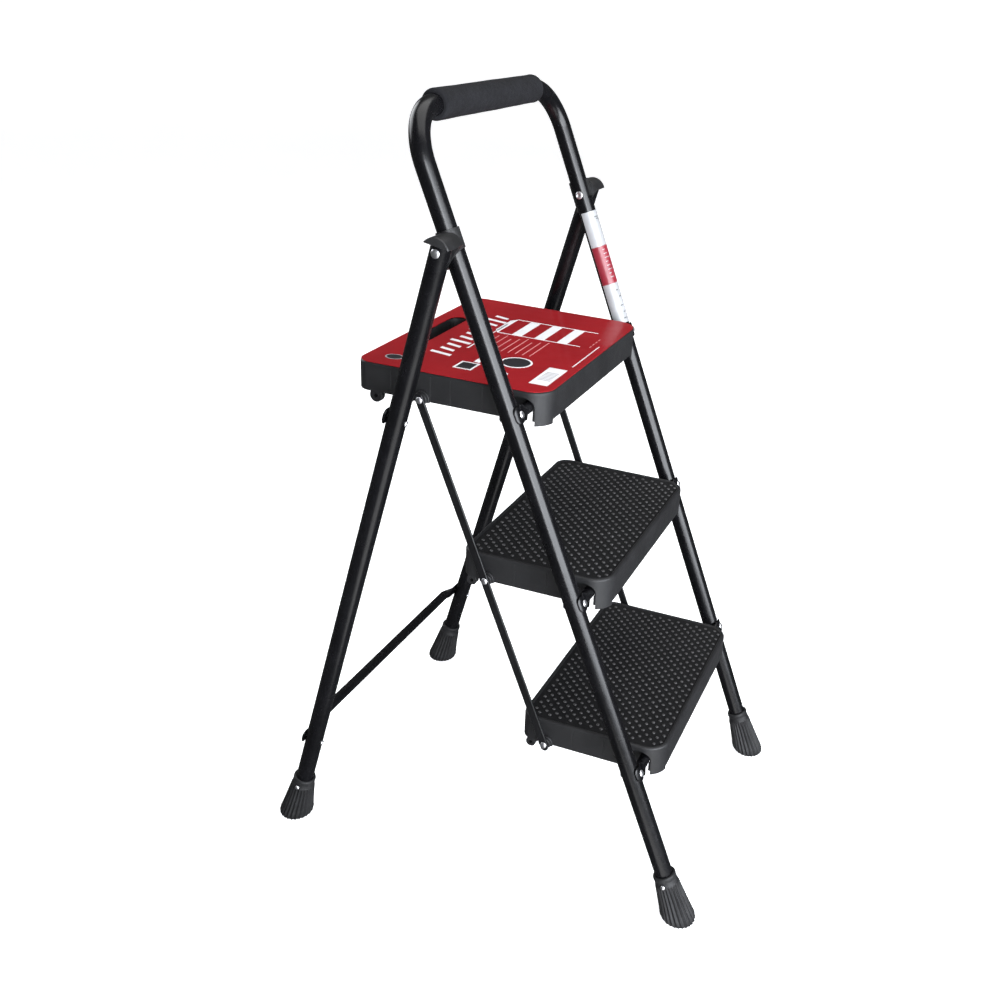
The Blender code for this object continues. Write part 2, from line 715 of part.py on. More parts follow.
def build_tread(kind, parent):
    rear_y = TREAD_REAR_Y[kind]
    tread = add_object(f"{kind}_tread", tread_shell(rear_y), parent, "tread_plastic")
    cut(tread, tread_cavity(rear_y), "cavity")
    cut(tread, tread_skirt_trim(), "skirt")
    ribs, cross_rib = tread_ribs(rear_y)
    fuse(tread, merged(*ribs), "ribs")
    fuse(tread, cross_rib, "cross_rib")
    if kind == "top":
        collar = [
            stadium(HAND_SLOT_HALF_LENGTH + SLOT_COLLAR, HAND_SLOT_HALF_WIDTH + SLOT_COLLAR,
                    HAND_SLOT_Y, z)
            for z in SLOT_COLLAR_Z
        ]
        fuse(tread, solid_from_rings(collar), "slot_collar")
    fuse(tread, both_sides(link_boss), "bosses")
    fuse(tread, both_sides(lambda: corner_eye(kind)[0]), "eye_rings")
    fuse(tread, both_sides(lambda: corner_eye(kind)[1]), "eye_webs")
    cut(tread, both_sides(lambda: eye_bore(kind)), "eye_bores")
    # snap-in channel for the crossbar that the tread turns on
    cut(tread, rod("X", -0.2, 0.2, BAR_CHANNEL_R, CHANNEL_SEGMENTS), "bar_channel")
    mouth = block((-0.2, -CHANNEL_MOUTH_HALF, -0.03), (0.2, CHANNEL_MOUTH_HALF, 0.0))
    cut(tread, mouth, "channel_mouth")
    cut(tread, both_sides(side_arch), "side_arches")
    pin = both_sides(
        lambda: rod("X", 0.165, 0.2, SHANK_R + GAP, RIVET_SEGMENTS, (LINK_PIVOT_Y, LINK_PIVOT_Z))
    )
    cut(tread, pin, "link_pins")
    if kind == "top":
        slot = [
            stadium(HAND_SLOT_HALF_LENGTH, HAND_SLOT_HALF_WIDTH, HAND_SLOT_Y, z)
            for z in (-0.03, 0.03)
        ]
        cut(tread, solid_from_rings(slot), "hand_slot")
        cut(tread, rest_notch(), "rest_notch")
    head_x = LINK_INNER_X + LINK_THICKNESS + GAP
    grip = head_x - (TREAD_HALF_WIDTH - TREAD_WALL - GAP)
    for side, label in ((-1, "left"), (1, "right")):
        location = (side * head_x, LINK_PIVOT_Y, LINK_PIVOT_Z)
        rivet(f"{kind}_link_rivet_{label}", parent, location, facing_x(side), grip)


def rest_notch():
    """Half-round seat where the open top tread lies on the rear frame's upper bar."""
    lean_y = math.sin(REAR_LEAN)
    lean_z = math.cos(REAR_LEAN)
    bar_y = HINGE_Y - lean_y * REAR_UPPER_BAR_Z + lean_z * REAR_BAR_Y
    bar_z = HINGE_Z + lean_z * REAR_UPPER_BAR_Z + lean_y * REAR_BAR_Y
    pivot = pivot_point("top")
    return rod("X", -0.2, 0.2, REST_NOTCH_R, CHANNEL_SEGMENTS, (bar_y - pivot.y, bar_z - pivot.z))


def bar_height(kind):
    """Distance of a front crossbar along the leaning leg, measured from the hinge axis."""
    pivot_z = TREAD_TOPS[kind] - TREAD_PIVOT_DROP
    return (pivot_z - HINGE_Z + FRONT_BAR_Y * math.sin(FRONT_LEAN)) / math.cos(FRONT_LEAN)


def pivot_point(kind):
    up = bar_height(kind)
    y = HINGE_Y + up * math.sin(FRONT_LEAN) + FRONT_BAR_Y * math.cos(FRONT_LEAN)
    return Vector((0.0, y, TREAD_TOPS[kind] - TREAD_PIVOT_DROP))


def build_card(parent):
    low = TREAD_PIVOT_DROP + GAP
    rings = [
        tread_outline(TREAD_REAR_Y["top"], CARD_INSET, z) for z in (low, low + CARD_THICKNESS)
    ]
    card = add_object("printed_card", solid_from_rings(rings), parent, "card_red")
    half_length = HAND_SLOT_HALF_LENGTH + CARD_SLOT_MARGIN[0]
    half_width = HAND_SLOT_HALF_WIDTH + CARD_SLOT_MARGIN[1]
    slot = [stadium(half_length, half_width, HAND_SLOT_Y, z) for z in (0.01, 0.03)]
    cut(card, solid_from_rings(slot), "slot")


# --- side links ---------------------------------------------------------------------------------


def build_link(parent, side):
    """Flat bar hanging parallel to the front legs, with a hole for each tread's rivet."""
    pitch = (TREAD_TOPS["top"] - TREAD_TOPS["middle"]) / math.cos(FRONT_LEAN)
    near = LINK_INNER_X
    far = LINK_INNER_X + LINK_THICKNESS
    centre_top = LINK_END - LINK_HALF_WIDTH
    centre_bottom = -2 * pitch - centre_top
    rings = []
    for x in (side * near, side * far):
        ring = []
        for centre, start in ((centre_top, 0), (centre_bottom, 180)):
            for i in range(LINK_END_STEPS + 1):
                angle = math.radians(start + 180 * i / LINK_END_STEPS)
                ring.append(
                    Vector((x, LINK_HALF_WIDTH * math.cos(angle),
                            centre + LINK_HALF_WIDTH * math.sin(angle)))
                )
        rings.append(ring)
    label = "left" if side < 0 else "right"
    link = add_object(f"side_link_{label}", solid_from_rings(rings), parent, "powder_black")
    holes = [
        rod("X", side * 0.18, side * 0.195, SHANK_R + GAP, RIVET_SEGMENTS, (0.0, -i * pitch))
        for i in range(3)
    ]
    cut(link, merged(*holes), "pivot_holes")


# --- assembly -----------------------------------------------------------------------------------


def build_grip(parent):
    half = 0.5 * GRIP_LENGTH
    stations = (
        (-half, GRIP_R - GRIP_ROUNDING),
        (-half + 0.4 * GRIP_ROUNDING, GRIP_R - 0.3 * GRIP_ROUNDING),
        (-half + 1.4 * GRIP_ROUNDING, GRIP_R),
        (half - 1.4 * GRIP_ROUNDING, GRIP_R),
        (half - 0.4 * GRIP_ROUNDING, GRIP_R - 0.3 * GRIP_ROUNDING),
        (half, GRIP_R - GRIP_ROUNDING),
    )
    outer = [circle((x, 0, HOOP_TOP), r, Y_AXIS, Z_AXIS, 20) for x, r in stations]
    inner = [circle((x, 0, HOOP_TOP), TUBE_R + GAP, Y_AXIS, Z_AXIS, 20) for x in (-half, half)]
    bm = pipe_from_rings(outer, inner)
    add_object("foam_grip", bm, parent, "grip_foam")


def build_label(parent):
    """Film wrapped most of the way round the right front leg."""
    inner_r = TUBE_R + GAP
    low, high = LABEL_Z
    start, end = LABEL_TURN
    corners = (
        (inner_r, low),
        (inner_r + LABEL_THICKNESS, low),
        (inner_r + LABEL_THICKNESS, high),
        (inner_r, high),
    )
    rings = []
    for i in range(LABEL_STEPS + 1):
        angle = start + (end - start) * i / LABEL_STEPS
        out = math.cos(angle) * X_AXIS + math.sin(angle) * Y_AXIS
        rings.append([FRONT_LEG_X * X_AXIS + r * out + z * Z_AXIS for r, z in corners])
    add_object("leg_label", solid_from_rings(rings), parent, "label_white")


def build_front_frame():
    frame = add_empty("front_frame_datum", (0.0, HINGE_Y, HINGE_Z), -FRONT_LEAN)
    heights = {kind: bar_height(kind) for kind in TREAD_TOPS}
    build_front_tube(frame, heights.values())
    build_grip(frame)
    build_label(frame)
    for kind, z in heights.items():
        ends = cupped_end(FRONT_LEG_X)
        build_crossbar(f"{kind}_crossbar", frame, z, FRONT_BAR_Y, FRONT_BAR_ROUND_X, ends,
                       FRONT_LEG_X)
        bar_rivets(f"{kind}_crossbar", frame, z, FRONT_LEG_X, FACING_MINUS_Y)
    for side, label in ((-1, "left"), (1, "right")):
        build_hinge_cap(frame, side)
        build_hinge_rivet(frame, side)
        build_foot(f"front_foot_{label}", frame, side, FRONT_LEG_X, FRONT_LEAN)


def build_rear_frame():
    frame = add_empty("rear_frame_hinge", (0.0, HINGE_Y, HINGE_Z), REAR_LEAN)
    for label, z in (("upper", REAR_UPPER_BAR_Z), ("lower", REAR_LOWER_BAR_Z)):
        ends = flat_end(REAR_LEG_X)
        build_crossbar(f"rear_{label}_bar", frame, z, REAR_BAR_Y, REAR_BAR_ROUND_X, ends,
                       REAR_LEG_X)
        bar_rivets(f"rear_{label}_bar", frame, z, REAR_LEG_X, FACING_PLUS_Y)
    for side, label in ((-1, "left"), (1, "right")):
        build_rear_leg(frame, side)
        build_foot(f"rear_foot_{label}", frame, side, REAR_LEG_X, -REAR_LEAN)


def build_treads_and_links():
    for kind in TREAD_TOPS:
        pivot = add_empty(f"{kind}_tread_pivot", pivot_point(kind))
        build_tread(kind, pivot)
        if kind == "top":
            build_card(pivot)
    start = pivot_point("top") + Vector((0.0, LINK_PIVOT_Y, LINK_PIVOT_Z))
    for side, label in ((-1, "left"), (1, "right")):
        build_link(add_empty(f"{label}_link_pivot", start, -FRONT_LEAN), side)


clear_scene()
make_materials()
build_front_frame()
build_rear_frame()
build_treads_and_links()
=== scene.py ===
"""The look of a three-step folding step ladder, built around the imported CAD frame.

Every piece is made in the local frame of the part it belongs to: the leaning front frame, the
leaning rear frame, a tread's pivot or a side link's pivot.  Lengths are metres, angles radians.
"""
import json
import math

import bmesh
import bpy
from mathutils import Matrix, Vector


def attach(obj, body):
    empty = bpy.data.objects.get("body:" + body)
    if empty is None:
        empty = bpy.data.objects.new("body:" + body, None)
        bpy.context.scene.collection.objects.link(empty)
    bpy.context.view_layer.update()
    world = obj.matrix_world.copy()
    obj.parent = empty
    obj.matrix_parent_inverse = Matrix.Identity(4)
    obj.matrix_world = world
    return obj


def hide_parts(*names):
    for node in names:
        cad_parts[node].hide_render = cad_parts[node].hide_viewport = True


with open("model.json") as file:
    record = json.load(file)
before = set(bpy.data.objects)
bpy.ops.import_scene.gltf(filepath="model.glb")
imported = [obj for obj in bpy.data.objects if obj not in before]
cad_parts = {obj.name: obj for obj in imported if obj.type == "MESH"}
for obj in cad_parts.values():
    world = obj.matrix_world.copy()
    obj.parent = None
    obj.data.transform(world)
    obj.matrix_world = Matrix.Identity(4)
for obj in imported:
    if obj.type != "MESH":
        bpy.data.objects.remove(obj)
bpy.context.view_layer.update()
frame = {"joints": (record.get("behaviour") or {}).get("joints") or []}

# --- driving dimensions -------------------------------------------------------------------------

FRONT_LEAN = math.radians(22.2)
REAR_LEAN = math.radians(15.1)
PIVOTS = {joint["name"]: Vector(joint["pos_m"]) for joint in frame["joints"]}
HINGE = PIVOTS["rear_frame_fold"]
FRONT = Matrix.Translation(HINGE) @ Matrix.Rotation(-FRONT_LEAN, 4, "X")
REAR = Matrix.Translation(HINGE) @ Matrix.Rotation(REAR_LEAN, 4, "X")
GAP = 0.0003
SIDES = ((-1, "left"), (1, "right"))

TUBE_R = 0.0125
TUBE_WALL = 0.0012
TUBE_LIP = 0.0005
TUBE_SEGMENTS = 56
FRONT_LEG_X = 0.208
REAR_LEG_X = 0.239
TUBE_END_CLEARANCE = 0.0130
HOOP_TOP = 0.156
HOOP_BEND_R = 0.062
BEND_STEPS = 24
REAR_LEG_TOP = 0.009

BAR_R = 0.0075
FLAT_HALF_THICKNESS = 0.0015
FLAT_HALF_HEIGHT = 0.0105
FLAT_SHIFT = TUBE_R + GAP + FLAT_HALF_THICKNESS
FRONT_BAR_Y = -0.0085
REAR_BAR_Y = 0.0203
FRONT_BAR_ROUND_X = 0.188
REAR_BAR_ROUND_X = 0.205
BAR_SEGMENTS = 40
BAR_END_R = 0.005
# how far the pressed end runs before and past the leg's centre line
FRONT_BAR_END = (0.009, 0.0088)
REAR_BAR_END = (0.0117, 0.009)
REAR_BARS = {"upper": -0.2216, "lower": -0.7657}

GRIP_R = 0.0185
GRIP_LENGTH = 0.286
GRIP_ROUNDING = 0.0035
GRIP_SLICES = 44

TREADS = ("top", "middle", "lower")
PIVOT_DROP = 0.020
HALF_WIDTH = 0.177
TREAD_FRONT_Y = -0.026
TREAD_REAR_Y = {"top": 0.2405, "middle": 0.1825, "lower": 0.1825}
TREAD_BOTTOM = -0.018
FINGER_BOTTOM = -0.024
FINGER_INNER_X = 0.152
FINGER_REAR_Y = -0.0095
TREAD_WALL = 0.0028
TREAD_PLATE = 0.003
FIELD_RECESS = 0.0012
FRONT_CORNER_R = 0.030
REAR_CORNER_R = 0.020
CORNER_STEPS = 14
RIB_X = 0.060
RIB_Y = 0.085
RIB_HALF = 0.00125
RIB_BOTTOM = -0.013
CLIP_RIB_X = 0.135
BEARING_RIB_X = 0.160
BEARING_RIB_Y = (-0.0215, 0.0300)
CHANNEL_R = BAR_R + GAP
CHANNEL_MOUTH_HALF = 0.0062
ARCH_Y = 0.0085
ARCH_HALF_WIDTH = 0.018
ARCH_SPRING_Z = -0.001
ARCH_RISE = 0.0135
HAND_SLOT_Y = 0.209
HAND_SLOT_HALF_LENGTH = 0.064
HAND_SLOT_HALF_WIDTH = 0.013
SLOT_COLLAR = 0.0026
REST_NOTCH_R = 0.0085
EYE_Y = {"top": 0.211, "middle": 0.1665, "lower": 0.1665}
EYE_R = {"top": 0.0090, "middle": 0.0072, "lower": 0.0072}
EYE_Z = -0.0235
EYE_BORE_R = 0.0028
EYE_INNER_X = 0.168
EYE_EDGE = 0.0008
EYE_WEB_HALF = 0.005
EYE_WEB_SETBACK = 0.0012

LINK_PIVOT_Y = 0.1426
LINK_PIVOT_Z = -0.014
LINK_INNER_X = 0.1843
LINK_THICKNESS = 0.003
LINK_HALF_WIDTH = 0.0057
LINK_END = 0.0095
LINK_EDGE = 0.0005
LINK_CUT_X = (0.18, 0.195)
BOSS_INNER_X = 0.1755
# (outer X, radius, height of the boss's flat foot above the edge of the skirt)
BOSS_STEPS = ((0.1808, 0.0102, -0.0002), (LINK_INNER_X - GAP, 0.0082, 0.0001))

SHANK_R = 0.0024
HEAD_R = 0.0047
HEAD_HEIGHT = 0.0023
TAIL_R = 0.0038
TAIL_HEIGHT = 0.0015
HINGE_SHANK_R = 0.0036
HINGE_HEAD_R = 0.0056

CAP_INNER_R = 0.0162
CAP_OUTER_R = 0.0187
CAP_SLEEVE_R = 0.0146
CAP_SLEEVE_Z = (-0.0235, 0.020)
CAP_CHEEK = 0.0025
CAP_DISC_X = FRONT_LEG_X + 0.75 * TUBE_R
CAP_SKIRT_Z = 0.0105
CAP_SKIRT_TILT = FRONT_LEAN + math.radians(11)
CAP_SLEEVE_CUT = (-0.0138, math.radians(-35))
CAP_EDGE = 0.0018
CAP_BEVEL = 0.0007
CAP_INNER_FACE = 0.004
# how far the cutting blocks run past the cap
FACE_REACH = 0.03
SKIRT_REACH = 0.04
SLEEVE_REACH = 0.05
SLEEVE_INWARD = 0.035

X_AXIS, Y_AXIS, Z_AXIS = Vector((1, 0, 0)), Vector((0, 1, 0)), Vector((0, 0, 1))


# --- materials ----------------------------------------------------------------------------------

CLOUD_SPAN = (0.35, 0.68)
GLOSS_SPAN = (0.3, 0.7)
GLOSS_SCALE = 3.1
SPECK_SCALE = 260.0
SPECK_SPAN = (0.66, 0.74)
GRAIN_DEPTH = 0.0006
COAT_ROUGHNESS = 0.08


def ramp(nodes, low, high, start=0.0, end=1.0):
    node = nodes.new("ShaderNodeValToRGB")
    node.color_ramp.elements[0].position = start
    node.color_ramp.elements[0].color = (*low, 1.0)
    node.color_ramp.elements[1].position = end
    node.color_ramp.elements[1].color = (*high, 1.0)
    return node


def noise(tree, coords, scale, detail=3.0, roughness=0.55):
    node = tree.nodes.new("ShaderNodeTexNoise")
    node.inputs["Scale"].default_value = scale
    node.inputs["Detail"].default_value = detail
    node.inputs["Roughness"].default_value = roughness
    tree.links.new(coords, node.inputs["Vector"])
    return node


def make_material(name, dark, light, gloss, cloud=14.0, grain=900.0, bump=0.12, metal=0.0,
                  coat=0.0, specular=0.5, speck=0.0):
    """A finish whose colour clouds between dark and light, with a varied gloss and a fine grain.

    cloud and grain are noise scales; speck lightens small worn spots.
    """
    mat = bpy.data.materials.new(name)
    mat.use_nodes = True
    tree = mat.node_tree
    shader = tree.nodes["Principled BSDF"]
    coords = tree.nodes.new("ShaderNodeTexCoord").outputs["Object"]
    clouds = noise(tree, coords, cloud)
    fine = noise(tree, coords, grain, 2.0)
    colour = ramp(tree.nodes, dark, light, *CLOUD_SPAN)
    tree.links.new(clouds.outputs["Fac"], colour.inputs["Fac"])
    tree.links.new(colour.outputs["Color"], shader.inputs["Base Color"])
    if speck:
        worn = noise(tree, coords, SPECK_SCALE, 5.0, 0.7)
        mask = ramp(tree.nodes, (0, 0, 0), (1, 1, 1), *SPECK_SPAN)
        tree.links.new(worn.outputs["Fac"], mask.inputs["Fac"])
        blend = tree.nodes.new("ShaderNodeMix")
        blend.data_type = "RGBA"
        blend.inputs["B"].default_value = tuple(min(1.0, c + speck) for c in light) + (1.0,)
        tree.links.new(mask.outputs["Color"], blend.inputs["Factor"])
        tree.links.new(colour.outputs["Color"], blend.inputs["A"])
        tree.links.new(blend.outputs["Result"], shader.inputs["Base Color"])
    low, high = gloss
    sheen_map = ramp(tree.nodes, (low,) * 3, (high,) * 3, *GLOSS_SPAN)
    smear = noise(tree, coords, GLOSS_SCALE * cloud, 4.0)
    tree.links.new(smear.outputs["Fac"], sheen_map.inputs["Fac"])
    tree.links.new(sheen_map.outputs["Color"], shader.inputs["Roughness"])
    relief = tree.nodes.new("ShaderNodeBump")
    relief.inputs["Strength"].default_value = bump
    relief.inputs["Distance"].default_value = GRAIN_DEPTH
    tree.links.new(fine.outputs["Fac"], relief.inputs["Height"])
    tree.links.new(relief.outputs["Normal"], shader.inputs["Normal"])
    shader.inputs["Metallic"].default_value = metal
    shader.inputs["Specular IOR Level"].default_value = specular
    shader.inputs["Coat Weight"].default_value = coat
    shader.inputs["Coat Roughness"].default_value = COAT_ROUGHNESS
    return mat


M_POWDER = make_material("powder_coat", (0.0014, 0.0014, 0.0018), (0.0027, 0.0027, 0.0033),
                         (0.23, 0.29), cloud=18.0, grain=1300.0, bump=0.05, specular=0.30)
M_POWDER_DULL = make_material("powder_coat_dull", (0.0026, 0.0026, 0.0030),
                              (0.0046, 0.0046, 0.0052), (0.36, 0.44),
                              cloud=18.0, grain=1300.0, bump=0.06, specular=0.30)
M_GRIP = make_material("foam_skin", (0.0038, 0.0039, 0.0050), (0.0066, 0.0067, 0.0085),
                       (0.80, 0.95), cloud=60.0, grain=1500.0, bump=0.55, specular=0.22)
M_CAP = make_material("cap_plastic", (0.0070, 0.0070, 0.0074), (0.0110, 0.0110, 0.0115),
                      (0.38, 0.48), cloud=30.0, grain=1800.0, bump=0.14, specular=0.4)
M_TREAD = make_material("tread_plastic", (0.0064, 0.0064, 0.0070), (0.0094, 0.0094, 0.0101),
                        (0.46, 0.58), cloud=16.0, grain=1700.0, bump=0.22, speck=0.015,
                        specular=0.35)
# darker copy of the tread plastic for the recessed field: painted shade, since the field faces up
M_FIELD_SHADE = make_material("tread_field_shade", (0.0017, 0.0017, 0.0021), (0.0030, 0.0030, 0.0035),
                        (0.58, 0.70), cloud=22.0, grain=1500.0, bump=0.20, specular=0.25)
# lighter copy of the tread plastic for the studs: painted highlight where they catch the light
M_STUD_HIGHLIGHT = make_material("tread_stud_highlight", (0.0170, 0.0165, 0.0170), (0.0300, 0.0290, 0.0295),
                       (0.42, 0.56), cloud=45.0, grain=1500.0, bump=0.10)
M_RUBBER = make_material("foot_rubber", (0.0055, 0.0055, 0.0060), (0.0095, 0.0095, 0.0102),
                         (0.52, 0.66), cloud=40.0, grain=1100.0, bump=0.25, specular=0.28)
M_ZINC = make_material("zinc_plate", (0.62, 0.62, 0.64), (0.82, 0.82, 0.84), (0.28, 0.42),
                       cloud=320.0, grain=2400.0, bump=0.10, metal=1.0)
M_CARD = make_material("card_red", (0.228, 0.0052, 0.0085), (0.272, 0.0074, 0.0112),
                       (0.34, 0.42), cloud=9.0, grain=500.0, bump=0.02, coat=0.18, specular=0.08)
M_CARD_WHITE = make_material("card_white", (0.78, 0.78, 0.80), (0.86, 0.86, 0.87), (0.30, 0.38),
                             cloud=40.0, grain=500.0, bump=0.02, coat=0.6)
M_CARD_PINK = make_material("card_pink", (0.58, 0.20, 0.20), (0.66, 0.26, 0.26), (0.30, 0.38),
                            cloud=40.0, grain=500.0, bump=0.02, coat=0.6)
M_CARD_BLACK = make_material("card_black", (0.006, 0.006, 0.008), (0.011, 0.011, 0.014),
                             (0.30, 0.38), cloud=40.0, grain=500.0, bump=0.02, coat=0.6)
M_CARD_GREY = make_material("card_grey", (0.30, 0.30, 0.32), (0.38, 0.38, 0.40), (0.30, 0.38),
                            cloud=60.0, grain=500.0, bump=0.02, coat=0.6)
M_LABEL = make_material("label_film", (0.215, 0.220, 0.225), (0.250, 0.255, 0.262), (0.32, 0.44),
                        cloud=24.0, grain=900.0, bump=0.04)
M_LABEL_RED = make_material("label_red", (0.135, 0.0070, 0.0150), (0.165, 0.0100, 0.0190),
                            (0.32, 0.44), cloud=30.0, grain=900.0, bump=0.04)
M_LABEL_GREY = make_material("label_grey", (0.035, 0.036, 0.040), (0.065, 0.066, 0.072),
                             (0.32, 0.44), cloud=90.0, grain=900.0, bump=0.04)


# --- mesh helpers -------------------------------------------------------------------------------


def add_rings(bm, rings):
    """Skins consecutive rings of equal length and returns their vertices."""
    loops = [[bm.verts.new(p) for p in ring] for ring in rings]
    for low, high in zip(loops, loops[1:]):
        count = len(low)
        for i in range(count):
            j = (i + 1) % count
            bm.faces.new((low[i], low[j], high[j], high[i]))
    return loops


def solid(rings):
    bm = bmesh.new()
    loops = add_rings(bm, rings)
    bm.faces.new(loops[0][::-1])
    bm.faces.new(loops[-1])
    return bm


def ring_shell(rings):
    """A closed ring-shaped body: the last ring joins the first, so the rings run round a wall."""
    bm = bmesh.new()
    loops = add_rings(bm, rings)
    first, last = loops[0], loops[-1]
    count = len(first)
    for i in range(count):
        j = (i + 1) % count
        bm.faces.new((last[i], last[j], first[j], first[i]))
    return bm


def circle(centre, radius, axis_a, axis_b, segments):
    step = math.tau / segments
    return [
        Vector(centre) + radius * (math.cos(i * step) * axis_a + math.sin(i * step) * axis_b)
        for i in range(segments)
    ]


def rod(axis, start, end, radius, segments=48, across=(0.0, 0.0)):
    frames = {
        "X": (X_AXIS, Y_AXIS, Z_AXIS),
        "Y": (Y_AXIS, X_AXIS, Z_AXIS),
        "Z": (Z_AXIS, X_AXIS, Y_AXIS),
    }
    along, side_a, side_b = frames[axis]
    base = across[0] * side_a + across[1] * side_b
    return solid([circle(base + t * along, radius, side_a, side_b, segments) for t in (start, end)])


def block(low, high):
    bm = bmesh.new()
    bmesh.ops.create_cube(bm, size=1.0)
    bmesh.ops.scale(bm, vec=[h - l for l, h in zip(low, high)], verts=bm.verts)
    bmesh.ops.translate(bm, vec=[0.5 * (h + l) for l, h in zip(low, high)], verts=bm.verts)
    return bm


def merged(*parts):
    out = bmesh.new()
    for part in parts:
        mesh = bpy.data.meshes.new("scratch")
        part.to_mesh(mesh)
        part.free()
        out.from_mesh(mesh)
        bpy.data.meshes.remove(mesh)
    return out


def mirror_x(bm):
    bmesh.ops.scale(bm, vec=(-1, 1, 1), verts=bm.verts)
    return bm


def both_sides(maker):
    return merged(maker(), mirror_x(maker()))


def plain_object(name, bm):
    bmesh.ops.recalc_face_normals(bm, faces=bm.faces)
    mesh = bpy.data.meshes.new(name)
    bm.to_mesh(mesh)
    bm.free()
    obj = bpy.data.objects.new(name, mesh)
    bpy.context.scene.collection.objects.link(obj)
    return obj


def add_modifier(obj, kind, **settings):
    modifier = obj.modifiers.new(kind.lower(), kind)
    for key, value in settings.items():
        setattr(modifier, key, value)
    return modifier


def carved(bm, steps, bevel=0.0, segments=2):
    """Adds or cuts each step's body in turn, softens the edges and returns the new bmesh."""
    obj = plain_object("carving", bm)
    tools = []
    for operation, body in steps:
        tool = plain_object("carving_tool", body)
        tools.append(tool)
        add_modifier(obj, "BOOLEAN", operation=operation, solver="EXACT", object=tool)
    if bevel:
        add_modifier(obj, "BEVEL", width=bevel, segments=segments, limit_method="ANGLE",
                     angle_limit=math.radians(35), use_clamp_overlap=True)
    graph = bpy.context.evaluated_depsgraph_get()
    mesh = bpy.data.meshes.new_from_object(obj.evaluated_get(graph))
    out = bmesh.new()
    out.from_mesh(mesh)
    bmesh.ops.remove_doubles(out, verts=out.verts, dist=1e-6)
    for used in tools + [obj]:
        old = used.data
        bpy.data.objects.remove(used)
        bpy.data.meshes.remove(old)
    bpy.data.meshes.remove(mesh)
    return out


def piece(name, bm, place, material, body, nodes=(), sharp=32.0):
    """A finished piece in the row frame, riding on a body and standing for its CAD nodes."""
    bm.transform(place)
    obj = plain_object(name, bm)
    obj.data.materials.append(material)
    obj.data.shade_smooth()
    obj.data.set_sharp_from_angle(angle=math.radians(sharp))
    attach(obj, body)
    if nodes:
        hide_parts(*nodes)
    return obj


def arc(steps, start, end):
    """Evenly spaced angles from start to end, in radians, both included."""
    return [start + (end - start) * i / steps for i in range(steps + 1)]


# --- rivets -------------------------------------------------------------------------------------


def rivet_body(grip, shank=SHANK_R, head=HEAD_R, tail=TAIL_R, segments=32):
    """Domed head on z = 0 facing +Z, with a dimpled tail formed at -grip."""
    profile = [(0.35 * tail, -grip - 0.55 * TAIL_HEIGHT), (0.55 * tail, -grip - TAIL_HEIGHT)]
    for angle in arc(5, 0.35 * math.pi, 0.0):
        profile.append((tail * (0.62 + 0.38 * math.cos(angle)),
                        -grip - TAIL_HEIGHT * math.sin(angle)))
    profile += [(shank, -grip), (shank, 0.0), (head * 0.985, 0.0), (head, 0.00025)]
    for angle in arc(8, 0.12 * math.pi, 0.47 * math.pi):
        profile.append((head * math.cos(angle), HEAD_HEIGHT * math.sin(angle)))
    return solid([circle((0, 0, z), r, X_AXIS, Y_AXIS, segments) for r, z in profile])


def add_rivet(name, frame_matrix, location, turn, grip, body, **sizes):
    place = frame_matrix @ Matrix.Translation(location) @ turn
    piece(f"look_{name}", rivet_body(grip, **sizes), place, M_ZINC, body, [name])


TURN_MINUS_Y = Matrix.Rotation(math.pi / 2, 4, "X")
TURN_PLUS_Y = Matrix.Rotation(-math.pi / 2, 4, "X")


def turn_x(side):
    return Matrix.Rotation(side * math.pi / 2, 4, "Y")


# --- tubes --------------------------------------------------------------------------------------


def leg_length(lean):
    return HINGE.z / math.cos(lean)


def hoop_rings(radius):
    bottom = TUBE_END_CLEARANCE - leg_length(FRONT_LEAN)
    bend_z = HOOP_TOP - HOOP_BEND_R
    bend_x = FRONT_LEG_X - HOOP_BEND_R
    path = [(-FRONT_LEG_X, bottom, math.pi)]
    for side, start in ((-1, math.pi), (1, 0.5 * math.pi)):
        for angle in arc(BEND_STEPS, start, start - 0.5 * math.pi):
            x = side * bend_x + HOOP_BEND_R * math.cos(angle)
            path.append((x, bend_z + HOOP_BEND_R * math.sin(angle), angle))
    path.append((FRONT_LEG_X, bottom, 0.0))
    return [
        circle((x, 0, z), radius, Vector((math.cos(a), 0, math.sin(a))), Y_AXIS, TUBE_SEGMENTS)
        for x, z, a in path
    ]


def add_tubes():
    piece("look_front_tube", solid(hoop_rings(TUBE_R)), FRONT, M_POWDER, "front_frame",
          ["front_tube"])
    low = TUBE_END_CLEARANCE - leg_length(REAR_LEAN)
    for side, label in SIDES:
        centre = side * REAR_LEG_X
        stations = (
            (low, TUBE_R),
            (REAR_LEG_TOP - TUBE_LIP, TUBE_R),
            (REAR_LEG_TOP, TUBE_R - TUBE_LIP),
            (REAR_LEG_TOP, TUBE_R - TUBE_WALL),
            (low, TUBE_R - TUBE_WALL),
        )
        rings = [circle((centre, 0, z), r, X_AXIS, Y_AXIS, TUBE_SEGMENTS) for z, r in stations]
        piece(f"look_rear_leg_{label}", ring_shell(rings), REAR, M_POWDER, "rear_frame",
              [f"rear_leg_{label}"])


# --- crossbars ----------------------------------------------------------------------------------


def bar_section(x, y, half_y, half_z, tilt, power):
    """A ring across the bar, from round (power 2) to nearly flat-sided, turned by tilt about Z."""
    across = Vector((math.sin(tilt), math.cos(tilt), 0.0))
    ring = []
    for i in range(BAR_SEGMENTS):
        angle = math.tau * i / BAR_SEGMENTS
        c, s = math.cos(angle), math.sin(angle)
        a = math.copysign(abs(c) ** (2 / power), c) * half_y
        b = math.copysign(abs(s) ** (2 / power), s) * half_z
        ring.append(Vector((x, y, 0.0)) + a * across + b * Z_AXIS)
    return ring


